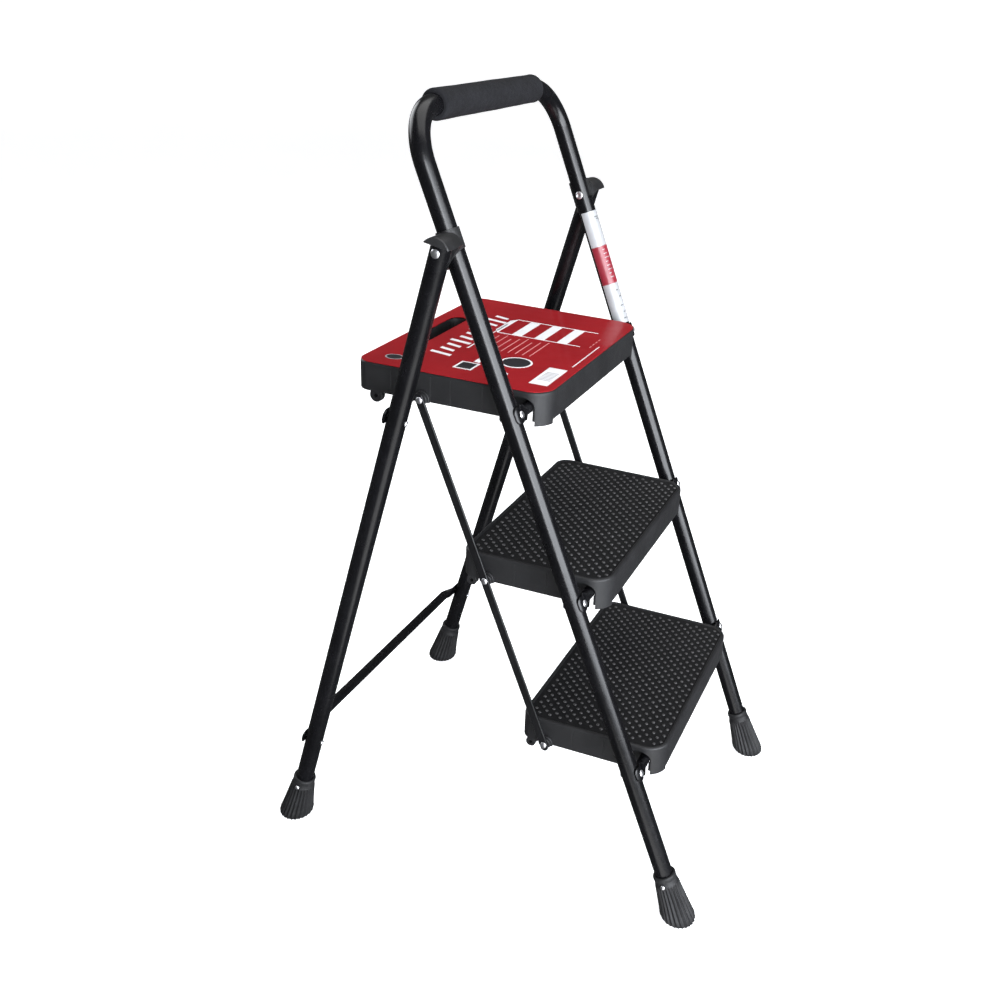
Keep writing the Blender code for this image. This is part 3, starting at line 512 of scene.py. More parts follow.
def pressed(axis_y, round_x, flat_x, steps=10):
    """Stations where the round bar is pressed flat and carried across to the leg's face."""
    stations = []
    for i in range(steps):
        t = i / steps
        s = t * t * (3 - 2 * t)
        y = axis_y + s * (math.copysign(FLAT_SHIFT, axis_y) - axis_y)
        stations.append((round_x + t * (flat_x - round_x), y,
                         BAR_R + s * (FLAT_HALF_THICKNESS - BAR_R),
                         BAR_R + s * (FLAT_HALF_HEIGHT - BAR_R), 0.0, 2 + 2 * s))
    return stations


def rounded_height(offset, reach):
    """Half height of a flattened end whose corners are rounded off."""
    past = max(0.0, offset - (reach - BAR_END_R))
    return FLAT_HALF_HEIGHT - BAR_END_R + math.sqrt(max(0.0, BAR_END_R ** 2 - past ** 2))


def cupped_half():
    """Half of a front crossbar, whose end wraps round the leg."""
    before, reach = FRONT_BAR_END
    half = [(0.0, FRONT_BAR_Y, BAR_R, BAR_R, 0.0, 2.0)]
    half += pressed(FRONT_BAR_Y, FRONT_BAR_ROUND_X, FRONT_LEG_X - before)
    for i in range(15):
        offset = -before + (reach + before) * i / 14
        tilt = math.asin(offset / FLAT_SHIFT)
        half.append((FRONT_LEG_X + offset, -FLAT_SHIFT * math.cos(tilt), FLAT_HALF_THICKNESS,
                     rounded_height(offset, reach), -tilt, 4.0))
    return half


def flat_half():
    """Half of a rear bar, whose end lies flat against the leg."""
    before, reach = REAR_BAR_END
    half = [(0.0, REAR_BAR_Y, BAR_R, BAR_R, 0.0, 2.0)]
    half += pressed(REAR_BAR_Y, REAR_BAR_ROUND_X, REAR_LEG_X - before)
    for i in range(11):
        offset = -before + (reach + before) * i / 10
        half.append((REAR_LEG_X + offset, FLAT_SHIFT, FLAT_HALF_THICKNESS,
                     rounded_height(offset, reach), 0.0, 4.0))
    return half


def bar_body(half):
    left = [(-x, y, a, b, -tilt, power) for x, y, a, b, tilt, power in reversed(half[1:])]
    return solid([bar_section(*station) for station in left + half])


def add_crossbar(name, place, z, half, leg_x, turn, body):
    here = place @ Matrix.Translation((0, 0, z))
    piece(f"look_{name}", bar_body(half), here, M_POWDER, body, [name], sharp=40)
    sign = -1 if turn is TURN_MINUS_Y else 1
    head_y = sign * (FLAT_SHIFT + FLAT_HALF_THICKNESS + GAP)
    grip = abs(head_y) + TUBE_R + GAP
    for side, label in SIDES:
        add_rivet(f"{name}_rivet_{label}", place, (side * leg_x, head_y, z), turn, grip, body)


def bar_height(kind):
    pivot = PIVOTS[f"{kind}_tread_fold"]
    return (pivot.z - HINGE.z + FRONT_BAR_Y * math.sin(FRONT_LEAN)) / math.cos(FRONT_LEAN)


def add_crossbars():
    for kind in TREADS:
        add_crossbar(f"{kind}_crossbar", FRONT, bar_height(kind), cupped_half(), FRONT_LEG_X,
                     TURN_MINUS_Y, "front_frame")
    for label, z in REAR_BARS.items():
        add_crossbar(f"rear_{label}_bar", REAR, z, flat_half(), REAR_LEG_X, TURN_PLUS_Y,
                     "rear_frame")


# --- rubber feet --------------------------------------------------------------------------------

FOOT_RIBS = 24
FOOT_PER_RIB = 8
FOOT_RIB_DEPTH = 0.0018
FOOT_RIVET_UP = 0.064
FOOT_RIVET_REACH = 0.0172
FOOT_BORE = (0.0125, 0.0760)
FOOT_HEAD_R = 0.0034
FOOT_TAIL_SETBACK = 0.0022
FOOT_RIB_SHARPNESS = 1.6
# (distance up the leg, radius, share of the floor's tilt, share of the rib depth)
FOOT_OUTSIDE = (
    (0.0000, 0.0212, 1.0, 0.3),
    (0.0010, 0.0228, 1.0, 0.7),
    (0.0030, 0.0240, 1.0, 1.0),
    (0.0070, 0.0248, 0.97, 1.0),
    (0.0120, 0.0244, 0.92, 1.0),
    (0.0165, 0.0233, 0.86, 1.0),
    (0.0280, 0.0214, 0.65, 1.0),
    (0.0400, 0.0197, 0.42, 1.0),
    (0.0510, 0.0183, 0.22, 1.0),
    (0.0600, 0.0173, 0.08, 0.9),
    (0.0616, 0.0170, 0.07, 0.1),
    (0.0624, 0.0164, 0.06, 0.0),
    (0.0680, 0.0157, 0.0, 0.0),
    (0.0696, 0.0155, 0.0, 0.0),
    (0.0704, 0.0159, 0.0, 0.0),
    (0.0720, 0.0162, 0.0, 0.0),
    (0.0745, 0.0162, 0.0, 0.0),
    (0.0759, 0.0158, 0.0, 0.0),
    (0.0765, 0.0149, 0.0, 0.0),
    (0.0765, 0.0130, 0.0, 0.0),
)


def foot_ring(station, floor_z, x, lean):
    up, radius, share, depth = station
    across = Vector((0.0, math.cos(share * lean), math.sin(share * lean)))
    count = FOOT_RIBS * FOOT_PER_RIB
    ring = []
    for i in range(count):
        wave = (0.5 + 0.5 * math.cos(FOOT_RIBS * math.tau * i / count)) ** FOOT_RIB_SHARPNESS
        r = radius - depth * FOOT_RIB_DEPTH * (1.0 - wave)
        angle = math.tau * i / count
        ring.append(Vector((x, 0.0, floor_z + up)) + r * math.cos(angle) * X_AXIS
                    + r * math.sin(angle) * across)
    return ring


def add_foot(name, place, side, leg_x, lean, body):
    floor_z = -leg_length(lean)
    x = side * leg_x
    rings = [foot_ring(station, floor_z, x, lean) for station in FOOT_OUTSIDE]
    for up in reversed(FOOT_BORE):
        rings.append(foot_ring((up, TUBE_R + GAP, 0.0, 0.0), floor_z, x, lean))
    piece(f"look_{name}", solid(rings), place, M_RUBBER, body, [name], sharp=45)
    add_rivet(name.replace("foot", "foot_rivet"), place,
              (x + side * FOOT_RIVET_REACH, 0.0, floor_z + FOOT_RIVET_UP), turn_x(side),
              FOOT_RIVET_REACH - TUBE_R + FOOT_TAIL_SETBACK, body, head=FOOT_HEAD_R,
              tail=FOOT_HEAD_R)


def add_feet():
    for side, label in SIDES:
        add_foot(f"front_foot_{label}", FRONT, side, FRONT_LEG_X, FRONT_LEAN, "front_frame")
        add_foot(f"rear_foot_{label}", REAR, side, REAR_LEG_X, -REAR_LEAN, "rear_frame")


# --- hinge caps, grip and label -----------------------------------------------------------------


def cap_body(side):
    inner_x = FRONT_LEG_X + TUBE_R + GAP
    spacer_x = REAR_LEG_X - TUBE_R - GAP
    cheek_x = REAR_LEG_X + TUBE_R + GAP
    outer_x = cheek_x + CAP_CHEEK

    def sided(bm):
        return mirror_x(bm) if side < 0 else bm

    profile = [(CAP_DISC_X, CAP_OUTER_R)]
    for angle in arc(6, 0.0, 0.5 * math.pi):
        profile.append((outer_x - CAP_EDGE * (1 - math.sin(angle)),
                        CAP_OUTER_R - CAP_EDGE * (1 - math.cos(angle))))
    body = solid([circle((x, 0, 0), r, Y_AXIS, Z_AXIS, 96) for x, r in profile])
    below = block((spacer_x, -SKIRT_REACH, -SKIRT_REACH), (outer_x + 0.01, SKIRT_REACH, 0.0))
    below.transform(Matrix.Translation((0, 0, CAP_SKIRT_Z))
                    @ Matrix.Rotation(CAP_SKIRT_TILT, 4, "X"))
    slant_z, slant = CAP_SLEEVE_CUT
    sleeve_end = block((FRONT_LEG_X - SLEEVE_INWARD, -SLEEVE_REACH, -SLEEVE_REACH),
                       (spacer_x + CAP_CHEEK, SLEEVE_REACH, 0.0))
    sleeve_end.transform(Matrix.Translation((0, 0, slant_z)) @ Matrix.Rotation(slant, 4, "X"))
    inner_face = block((FRONT_LEG_X - FACE_REACH, -FACE_REACH, -FACE_REACH),
                       (FRONT_LEG_X - CAP_INNER_FACE, FACE_REACH, FACE_REACH))
    sleeve = rod("Z", CAP_SLEEVE_Z[0], CAP_SLEEVE_Z[1], CAP_SLEEVE_R, 64, (FRONT_LEG_X, 0.0))
    room = rod("X", spacer_x, cheek_x, CAP_INNER_R, 96)
    bore = rod("Z", -SLEEVE_REACH, SLEEVE_REACH, inner_x - FRONT_LEG_X, 64, (FRONT_LEG_X, 0.0))
    pin = rod("X", FRONT_LEG_X, outer_x, HINGE_SHANK_R + GAP, 32)
    steps = [("UNION", sided(sleeve))]
    for cutter in (room, below, sleeve_end, inner_face, bore, pin):
        steps.append(("DIFFERENCE", sided(cutter)))
    return carved(sided(body), steps, bevel=CAP_BEVEL, segments=3)


def add_caps():
    head_x = REAR_LEG_X + TUBE_R + GAP
    grip = head_x - (FRONT_LEG_X - TUBE_R - GAP)
    for side, label in SIDES:
        piece(f"look_hinge_cap_{label}", cap_body(side), FRONT, M_CAP, "front_frame",
              [f"hinge_cap_{label}"])
        add_rivet(f"hinge_rivet_{label}", FRONT, (side * head_x, 0, 0), turn_x(side), grip,
                  "front_frame", shank=HINGE_SHANK_R, head=HINGE_HEAD_R, tail=HINGE_HEAD_R)


def add_grip():
    half = 0.5 * GRIP_LENGTH
    profile = []
    for angle in arc(6, 0.5 * math.pi, 0.0):
        profile.append((-half + GRIP_ROUNDING * (1 - math.cos(0.5 * math.pi - angle)),
                        GRIP_R - GRIP_ROUNDING * (1 - math.sin(0.5 * math.pi - angle))))
    start = half - GRIP_ROUNDING
    for i in range(1, GRIP_SLICES):
        x = -start + 2 * start * i / GRIP_SLICES
        swell = 0.00012 * math.sin(37 * x + 1.0) + 0.00008 * math.sin(91 * x)
        profile.append((x, GRIP_R - 0.0002 + swell))
    for x, r in [(-x, r) for x, r in reversed(profile[:7])]:
        profile.append((x, r))
    profile.append((half, TUBE_R + GAP))
    profile.append((-half, TUBE_R + GAP))
    rings = [circle((x, 0, HOOP_TOP), r, Y_AXIS, Z_AXIS, 64) for x, r in profile]
    grip = piece("look_foam_grip", ring_shell(rings), FRONT, M_GRIP, "front_frame",
                 ["foam_grip"], sharp=50)


LABEL_Z = (-0.1965, -0.0262)
LABEL_THICKNESS = 0.0003
LABEL_TURN = (153, 429)
LABEL_RED_TURN = (154, 330)
LABEL_RED_SPAN = (0.64, 0.305)
LABEL_PRINT = 0.00006
LABEL_OVERPRINT = 0.00004
LABEL_STROKE = 0.0011
LABEL_GREY_STROKE = 0.0016
LABEL_GREY_SHARES = (0.05, 0.068, 0.70, 0.76, 0.84, 0.90, 0.955)


def wrapped_patch(z_low, z_high, start, end, inner, outer):
    """A thin curved patch on the right front leg; angles are degrees from outward (+X) to +Y."""
    steps = max(2, int(abs(end - start) / 6))
    rings = []
    for angle in arc(steps, math.radians(start), math.radians(end)):
        out = Vector((math.cos(angle), math.sin(angle), 0.0))
        foot = Vector((FRONT_LEG_X, 0.0, 0.0))
        rings.append([foot + r * out + z * Z_AXIS for r, z in
                      ((inner, z_low), (outer, z_low), (outer, z_high), (inner, z_high))])
    return solid(rings)


def add_label():
    inner = TUBE_R + GAP
    outer = inner + LABEL_THICKNESS
    low, high = LABEL_Z
    film = wrapped_patch(low, high, *LABEL_TURN, inner, outer)
    piece("look_leg_label", film, FRONT, M_LABEL, "front_frame", ["leg_label"])
    skin = outer + LABEL_PRINT
    span = high - low
    bottom, top = (high - share * span for share in LABEL_RED_SPAN)
    red = wrapped_patch(bottom, top, *LABEL_RED_TURN, outer, skin)
    piece("look_label_red", red, FRONT, M_LABEL_RED, "front_frame")
    marks = []
    for row in range(8):
        z = high - (0.335 + 0.035 * row) * span
        for start, end in ((226, 244 + 9 * (row % 3)), (272, 292 + 7 * (row % 2))):
            marks.append(wrapped_patch(z - LABEL_STROKE, z, start, end, skin,
                                       skin + LABEL_OVERPRINT))
    piece("look_label_lines", merged(*marks), FRONT, M_LABEL, "front_frame")
    greys = []
    for row, z_share in enumerate(LABEL_GREY_SHARES):
        z = high - z_share * span
        start = 236 + 12 * (row % 2)
        end = start + 30 - 6 * (row % 3)
        greys.append(wrapped_patch(z - LABEL_GREY_STROKE, z, start, end, outer, skin))
    piece("look_label_marks", merged(*greys), FRONT, M_LABEL_GREY, "front_frame")


# --- treads -------------------------------------------------------------------------------------

GROOVE_HALF = 0.0006
GROOVE_DEPTH = 0.0004
RIM_R = 0.0030
# cutting bodies run past the tread to these
CUT_X = 0.2
CUT_FRONT_Y = -0.04
CUT_REAR_Y = 0.3
CUT_LOW = -0.04
INNER_CUT_Z = (-0.03, 0.03)
PIN_CUT_X = (0.165, 0.2)
EYE_CUT_X = (0.16, 0.19)
COLLAR_Z = (-0.004, 0.0168)
ARCH_CUT = 0.004
SIDE_GROOVES = {"top": (0.060, 0.104, 0.132, 0.188), "middle": (0.058, 0.104),
                "lower": (0.058, 0.104)}


def side_points(kind, half, side, depth):
    """Points up one side wall, with a narrow groove at each moulding line."""
    points = []
    grooves = SIDE_GROOVES[kind] if side > 0 else reversed(SIDE_GROOVES[kind])
    for y in grooves:
        for shift, sunk in ((-GROOVE_HALF, 0.0), (-0.5 * GROOVE_HALF, depth),
                            (0.5 * GROOVE_HALF, depth), (GROOVE_HALF, 0.0)):
            points.append((side * (half - sunk), y + side * shift))
    return points


def outline(kind, inset, z, depth=0.0):
    """Rounded rectangle of a tread from above, counter-clockwise from the right front corner."""
    half = HALF_WIDTH - inset
    front = TREAD_FRONT_Y + inset
    rear = TREAD_REAR_Y[kind] - inset
    r_front = FRONT_CORNER_R - inset
    r_rear = REAR_CORNER_R - inset
    corners = (
        (half - r_front, front + r_front, r_front, -0.5 * math.pi),
        (half - r_rear, rear - r_rear, r_rear, 0.0),
        (-half + r_rear, rear - r_rear, r_rear, 0.5 * math.pi),
        (-half + r_front, front + r_front, r_front, math.pi),
    )
    points = []
    for index, (cx, cy, radius, start) in enumerate(corners):
        for angle in arc(CORNER_STEPS, start, start + 0.5 * math.pi):
            points.append((cx + radius * math.cos(angle), cy + radius * math.sin(angle)))
        if index == 0:
            points += side_points(kind, half, 1, depth)
        if index == 2:
            points += side_points(kind, half, -1, depth)
    return [Vector((x, y, z)) for x, y in points]


def stadium(half_length, half_width, y, z, steps=14):
    straight = half_length - half_width
    points = []
    for side, start in ((1, -0.5 * math.pi), (-1, 0.5 * math.pi)):
        for angle in arc(steps, start, start + math.pi):
            points.append(Vector((side * straight + half_width * math.cos(angle),
                                  y + half_width * math.sin(angle), z)))
    return points


def tread_walls(kind):
    """Rings up the outside, over the rounded rim and in to the edge of the recessed field."""
    top = PIVOT_DROP
    rings = [outline(kind, 0.0005, FINGER_BOTTOM, GROOVE_DEPTH),
             outline(kind, 0.0, FINGER_BOTTOM + 0.0005, GROOVE_DEPTH),
             outline(kind, 0.0, top - 0.0052, GROOVE_DEPTH),
             outline(kind, 0.0, top - 0.0046)]
    for angle in arc(6, 0.0, 0.5 * math.pi):
        rings.append(outline(kind, RIM_R * (1 - math.cos(angle)),
                             top - RIM_R + RIM_R * math.sin(angle)))
    rings.append(outline(kind, 0.0047, top))
    rings.append(outline(kind, 0.0052, top - 0.0002))
    rings.append(outline(kind, 0.0060, top - FIELD_RECESS + 0.0001))
    rings.append(outline(kind, 0.0064, top - FIELD_RECESS))
    return rings


def arch_outline(x, z_low):
    """Outline of the arched opening in a side wall, round the crossbar's pressed end."""
    points = [Vector((x, ARCH_Y - ARCH_HALF_WIDTH, z_low)),
              Vector((x, ARCH_Y + ARCH_HALF_WIDTH, z_low))]
    for angle in arc(20, 0.0, math.pi):
        points.append(Vector((x, ARCH_Y + ARCH_HALF_WIDTH * math.cos(angle),
                              ARCH_SPRING_Z + ARCH_RISE * math.sin(angle))))
    return points


def side_arch():
    ends = (HALF_WIDTH - ARCH_CUT, HALF_WIDTH + ARCH_CUT)
    return solid([arch_outline(x, CUT_LOW) for x in ends])


def rib_steps(kind):
    top = PIVOT_DROP - FIELD_RECESS - 0.5 * TREAD_PLATE
    front = TREAD_FRONT_Y + 0.5 * TREAD_WALL
    rear = TREAD_REAR_Y[kind] - 0.5 * TREAD_WALL
    side = HALF_WIDTH - 0.5 * TREAD_WALL
    ribs = [block((x - RIB_HALF, front, RIB_BOTTOM), (x + RIB_HALF, rear, top))
            for x in (-RIB_X, RIB_X)]
    ribs += [block((x - RIB_HALF, front, RIB_BOTTOM), (x + RIB_HALF, RIB_Y, top))
             for x in (-CLIP_RIB_X, CLIP_RIB_X)]
    ribs += [block((x - RIB_HALF, BEARING_RIB_Y[0], TREAD_BOTTOM),
                   (x + RIB_HALF, BEARING_RIB_Y[1], top))
             for x in (-BEARING_RIB_X, BEARING_RIB_X)]
    cross = block((-side, RIB_Y - RIB_HALF, RIB_BOTTOM), (side, RIB_Y + RIB_HALF, top))
    return [("UNION", merged(*ribs)), ("UNION", cross)]


def link_boss():
    """The boss under a side link's rivet: two steps, round above and flat along the skirt."""
    rings = []
    inner = BOSS_INNER_X
    for outer, radius, foot in BOSS_STEPS:
        for x, inset in ((inner, 0.0), (outer - 0.0005, 0.0), (outer, 0.0005)):
            ring = [Vector((x, LINK_PIVOT_Y + sign * (radius - inset), TREAD_BOTTOM + foot + inset))
                    for sign in (-1, 1)]
            for angle in arc(24, 0.0, math.pi):
                ring.append(Vector((x, LINK_PIVOT_Y + (radius - inset) * math.cos(angle),
                                    LINK_PIVOT_Z + (radius - inset) * math.sin(angle))))
            rings.append(ring)
        inner = outer
    return solid(rings)


def eye_body(kind):
    """Thick ring under the rear corner, with a softened outer edge."""
    radius, end, edge = EYE_R[kind], HALF_WIDTH - EYE_EDGE, EYE_EDGE
    stations = ((EYE_INNER_X, radius), (end - edge, radius), (end, radius - edge))
    return solid([circle((x, EYE_Y[kind], EYE_Z), r, Y_AXIS, Z_AXIS, 40) for x, r in stations])


def eye_steps(kind):
    """The eye, the web that joins it to the skirt, and its bore."""
    y = EYE_Y[kind]
    low = (EYE_INNER_X + 0.001, y - EYE_WEB_HALF, EYE_Z + EYE_WEB_HALF)
    high = (HALF_WIDTH - EYE_WEB_SETBACK, y + EYE_WEB_HALF, TREAD_BOTTOM + EYE_WEB_HALF)
    return [
        ("UNION", both_sides(lambda: eye_body(kind))),
        ("UNION", both_sides(lambda: block(low, high))),
        ("DIFFERENCE", both_sides(lambda: rod("X", *EYE_CUT_X, EYE_BORE_R, 32, (y, EYE_Z)))),
    ]


def rest_notch():
    """Half-round seat where the open top tread lies on the rear frame's upper bar."""
    bar = REAR @ Vector((0.0, REAR_BAR_Y, REAR_BARS["upper"]))
    local = bar - PIVOTS["top_tread_fold"]
    return rod("X", -CUT_X, CUT_X, REST_NOTCH_R, 48, (local.y, local.z))


def tread_body(kind):
    ceiling = PIVOT_DROP - FIELD_RECESS - TREAD_PLATE
    cavity = solid([outline(kind, TREAD_WALL, z) for z in (INNER_CUT_Z[0], ceiling)])
    trim = merged(block((-CUT_X, FINGER_REAR_Y, CUT_LOW), (CUT_X, CUT_REAR_Y, TREAD_BOTTOM)),
                  block((-FINGER_INNER_X, CUT_FRONT_Y, CUT_LOW),
                        (FINGER_INNER_X, 0.0, TREAD_BOTTOM)))
    pins = both_sides(lambda: rod("X", *PIN_CUT_X, SHANK_R + GAP, 24,
                                  (LINK_PIVOT_Y, LINK_PIVOT_Z)))
    steps = [("DIFFERENCE", cavity), ("DIFFERENCE", trim)] + rib_steps(kind)
    if kind == "top":
        collar = [stadium(HAND_SLOT_HALF_LENGTH + SLOT_COLLAR, HAND_SLOT_HALF_WIDTH + SLOT_COLLAR,
                          HAND_SLOT_Y, z) for z in COLLAR_Z]
        steps.append(("UNION", solid(collar)))
    steps.append(("UNION", both_sides(link_boss)))
    steps += eye_steps(kind)
    steps.append(("DIFFERENCE", rod("X", -CUT_X, CUT_X, CHANNEL_R, 48)))
    steps.append(("DIFFERENCE", block((-CUT_X, -CHANNEL_MOUTH_HALF, INNER_CUT_Z[0]),
                                      (CUT_X, CHANNEL_MOUTH_HALF, 0.0))))
    steps.append(("DIFFERENCE", both_sides(side_arch)))
    steps.append(("DIFFERENCE", pins))
    if kind == "top":
        slot = [stadium(HAND_SLOT_HALF_LENGTH, HAND_SLOT_HALF_WIDTH, HAND_SLOT_Y, z)
                for z in INNER_CUT_Z]
        steps.append(("DIFFERENCE", solid(slot)))
        steps.append(("DIFFERENCE", rest_notch()))
    return carved(solid(tread_walls(kind)), steps)


def paint_field_shade(obj, kind):
    """The recessed field faces take a darker copy of the tread plastic: painted shade on the
    up-facing field.
    """
    obj.data.materials.append(M_FIELD_SHADE)
    level = PIVOTS[f"{kind}_tread_fold"].z + PIVOT_DROP - FIELD_RECESS
    for face in obj.data.polygons:
        if face.normal.z > 0.9 and abs(face.center.z - level) < 0.0004:
            face.material_index = 1


STUD_PITCH_X = 0.0153
STUD_PITCH_Y = 0.00765
STUD_FIRST_ROW = 0.0107
STUD_R = 0.0025
STUD_HEIGHT = 0.0015
STUD_SUNK = 0.0002
STUD_MARGIN = 0.0092
STUD_SEGMENTS = 12
# (share of the stud's radius, share of its height)
STUD_PROFILE = ((1.0, 0.0), (0.96, 0.35), (0.80, 0.70), (0.52, 0.92), (0.20, 1.0))


def inside_field(kind, x, y, margin):
    half = HALF_WIDTH - margin
    front, rear = TREAD_FRONT_Y + margin, TREAD_REAR_Y[kind] - margin
    radius = (FRONT_CORNER_R if y < 0.5 * rear else REAR_CORNER_R) - margin
    if abs(x) > half or y < front or y > rear:
        return False
    edge_y = front + radius - y if y < 0.5 * rear else y - (rear - radius)
    edge_x = abs(x) - (half - radius)
    return not (edge_x > 0 and edge_y > 0 and math.hypot(edge_x, edge_y) > radius)


def stud_field(kind):
    bm = bmesh.new()
    base = PIVOT_DROP - FIELD_RECESS - STUD_SUNK
    rows = int((TREAD_REAR_Y[kind] - TREAD_FRONT_Y) / STUD_PITCH_Y) + 1
    columns = int(HALF_WIDTH / STUD_PITCH_X) + 1
    for row in range(rows):
        y = TREAD_FRONT_Y + STUD_FIRST_ROW + row * STUD_PITCH_Y
        for column in range(-columns, columns + 1):
            x = (column + 0.5 * (row % 2)) * STUD_PITCH_X
            if not inside_field(kind, x, y, STUD_MARGIN):
                continue
            rings = [circle((x, y, base + h * (STUD_HEIGHT + STUD_SUNK)), STUD_R * r,
                            X_AXIS, Y_AXIS, STUD_SEGMENTS) for r, h in STUD_PROFILE]
            loops = add_rings(bm, rings)
            bm.faces.new(loops[0][::-1])
            bm.faces.new(loops[-1])
    return bm


def add_treads():
    head_x = LINK_INNER_X + LINK_THICKNESS + GAP
    grip = head_x - (HALF_WIDTH - TREAD_WALL - GAP)
    for kind in TREADS:
        body = f"{kind}_tread"
        place = Matrix.Translation(PIVOTS[f"{kind}_tread_fold"])
        tread = piece(f"look_{kind}_tread", tread_body(kind), place, M_TREAD, body,
                      [body], sharp=28)
        paint_field_shade(tread, kind)
        if kind != "top":
            # the studs take the lighter stud material, a painted highlight
            piece(f"look_{kind}_studs", stud_field(kind), place, M_STUD_HIGHLIGHT, body)
        for side, label in SIDES:
            add_rivet(f"{kind}_link_rivet_{label}", place,
                      (side * head_x, LINK_PIVOT_Y, LINK_PIVOT_Z), turn_x(side), grip, body)


# --- side links ---------------------------------------------------------------------------------


def link_pitch():
    """Distance between neighbouring rivets along a side link."""
    rise = PIVOTS["top_tread_fold"].z - PIVOTS["middle_tread_fold"].z
    return rise / math.cos(FRONT_LEAN)


def link_outline(x, inset):
    radius = LINK_HALF_WIDTH - inset
    centre_top = LINK_END - LINK_HALF_WIDTH
    centre_bottom = -2 * link_pitch() - centre_top
    ring = []
    for centre, start in ((centre_top, 0.0), (centre_bottom, math.pi)):
        for angle in arc(16, start, start + math.pi):
            ring.append(Vector((x, radius * math.cos(angle), centre + radius * math.sin(angle))))
    return ring


def add_links():
    pitch = link_pitch()
    edge = LINK_EDGE
    for side, label in SIDES:
        levels = ((0.0, edge), (edge, 0.0), (LINK_THICKNESS - edge, 0.0), (LINK_THICKNESS, edge))
        bar = solid([link_outline(side * (LINK_INNER_X + x), inset) for x, inset in levels])
        holes = [rod("X", side * LINK_CUT_X[0], side * LINK_CUT_X[1], SHANK_R + GAP, 24,
                     (0.0, -i * pitch)) for i in range(3)]
        start = PIVOTS[f"{label}_link_pivot"]
        place = Matrix.Translation((0.0, start.y, start.z)) @ Matrix.Rotation(-FRONT_LEAN, 4, "X")
        piece(f"look_side_link_{label}", carved(bar, [("DIFFERENCE", merged(*holes))]), place,
              M_POWDER_DULL, f"{label}_link", [f"side_link_{label}"])


# --- printed card -------------------------------------------------------------------------------

CARD_LOW = PIVOT_DROP + GAP
CARD_TOP = CARD_LOW + 0.0006
CARD_INSET = 0.001
CARD_SLOT_MARGIN = (0.002, -0.0005)
EYELET = (-0.143, 0.202)
INK = 0.00008


def ink(points, level=0):
    """A thin raised print with the given outline (x, y), above any print of a lower level."""
    low = CARD_TOP + level * INK
    return solid([[Vector((x, y, z)) for x, y in points] for z in (low, low + INK)])


def ink_bar(x0, x1, y0, y1, level=0):
    return ink([(x0, y0), (x1, y0), (x1, y1), (x0, y1)], level)


def ink_oval(cx, cy, rx, ry, level=0):
    return ink([(cx + rx * math.cos(a), cy + ry * math.sin(a))
                for a in arc(35, 0.0, math.tau * 35 / 36)], level)


def card_body():
    edge = 0.0002
    rings = [outline("top", CARD_INSET + edge, CARD_LOW),
             outline("top", CARD_INSET, CARD_LOW + edge),
             outline("top", CARD_INSET, CARD_TOP - edge),
             outline("top", CARD_INSET + edge, CARD_TOP)]
    longer, wider = CARD_SLOT_MARGIN
    slot = [stadium(HAND_SLOT_HALF_LENGTH + longer, HAND_SLOT_HALF_WIDTH + wider, HAND_SLOT_Y, z)
            for z in (0.01, 0.03)]
    return carved(solid(rings), [("DIFFERENCE", solid(slot))])


def band_strokes():
    """A band of slanted strokes and dots across the card, in place of a printed title."""
    strokes = []
    count = 11
    for i in range(count):
        x = -0.097 + 0.193 * i / (count - 1)
        tall = 0.016 if i % 3 == 0 else 0.011
        lean = 0.003
        strokes.append(ink([(x - 0.0035 - lean, 0.159 - tall), (x + 0.0035 - lean, 0.159 - tall),
                            (x + 0.0035 + lean, 0.159 + tall), (x - 0.0035 + lean, 0.159 + tall)]))
    strokes.append(ink_bar(-0.060, 0.070, 0.1375, 0.1395))
    return strokes


def ladder_drawing():
    """A plain line drawing of a ladder seen from the front, with three steps."""
    left, right, near, far = 0.026, 0.100, 0.010, 0.134
    line = 0.0022
    shapes = [ink_bar(left, left + line, near, far), ink_bar(right - line, right, near, far),
              ink([(left, far), (right, far),
                   (right - 0.012, far + 0.008), (left + 0.012, far + 0.008)])]
    for i in range(3):
        y = near + 0.020 + 0.034 * i
        shapes.append(ink_bar(left + line, right - line, y, y + 0.015))
    return shapes


def add_card():
    place = Matrix.Translation(PIVOTS["top_tread_fold"])
    body = "top_tread"
    piece("look_printed_card", card_body(), place, M_CARD, body, ["printed_card"])
    white = band_strokes() + ladder_drawing()
    white += [ink_bar(-0.146, -0.077, -0.013, 0.012), ink_bar(-0.141, -0.112, 0.094, 0.120),
              ink_oval(-0.082, 0.057, 0.0215, 0.0215), ink_oval(-0.132, 0.054, 0.007, 0.007),
              ink_bar(-0.108, -0.084, 0.098, 0.106),
              ink_bar(-0.060, 0.040, -0.0140, -0.0125)]
    piece("look_card_white", merged(*white), place, M_CARD_WHITE, body)
    black = [ink_bar(-0.138, -0.115, 0.097, 0.117, 1), ink_oval(-0.082, 0.057, 0.0185, 0.0185, 1)]
    black.append(ink_oval(*EYELET, 0.0085, 0.0105, 1))
    piece("look_card_black", merged(*black), place, M_CARD_BLACK, body)
    grey = [ink_oval(*EYELET, 0.0100, 0.0125)]
    grey += [ink_bar(-0.128 + 0.005 * i, -0.1262 + 0.005 * i, -0.009, 0.008, 1) for i in range(7)]
    piece("look_card_grey", merged(*grey), place, M_CARD_GREY, body)
    lines = []
    for i in range(8):
        y = 0.052 + 0.0104 * i
        lines.append(ink_bar(-0.049, 0.020 - 0.006 * (i % 3), y, y + 0.0016))
    lines += [ink_bar(0.030 + 0.012 * i, 0.037 + 0.012 * i, -0.0035, -0.0020) for i in range(4)]
    piece("look_card_lines", merged(*lines), place, M_CARD_PINK, body)


# --- stage --------------------------------------------------------------------------------------

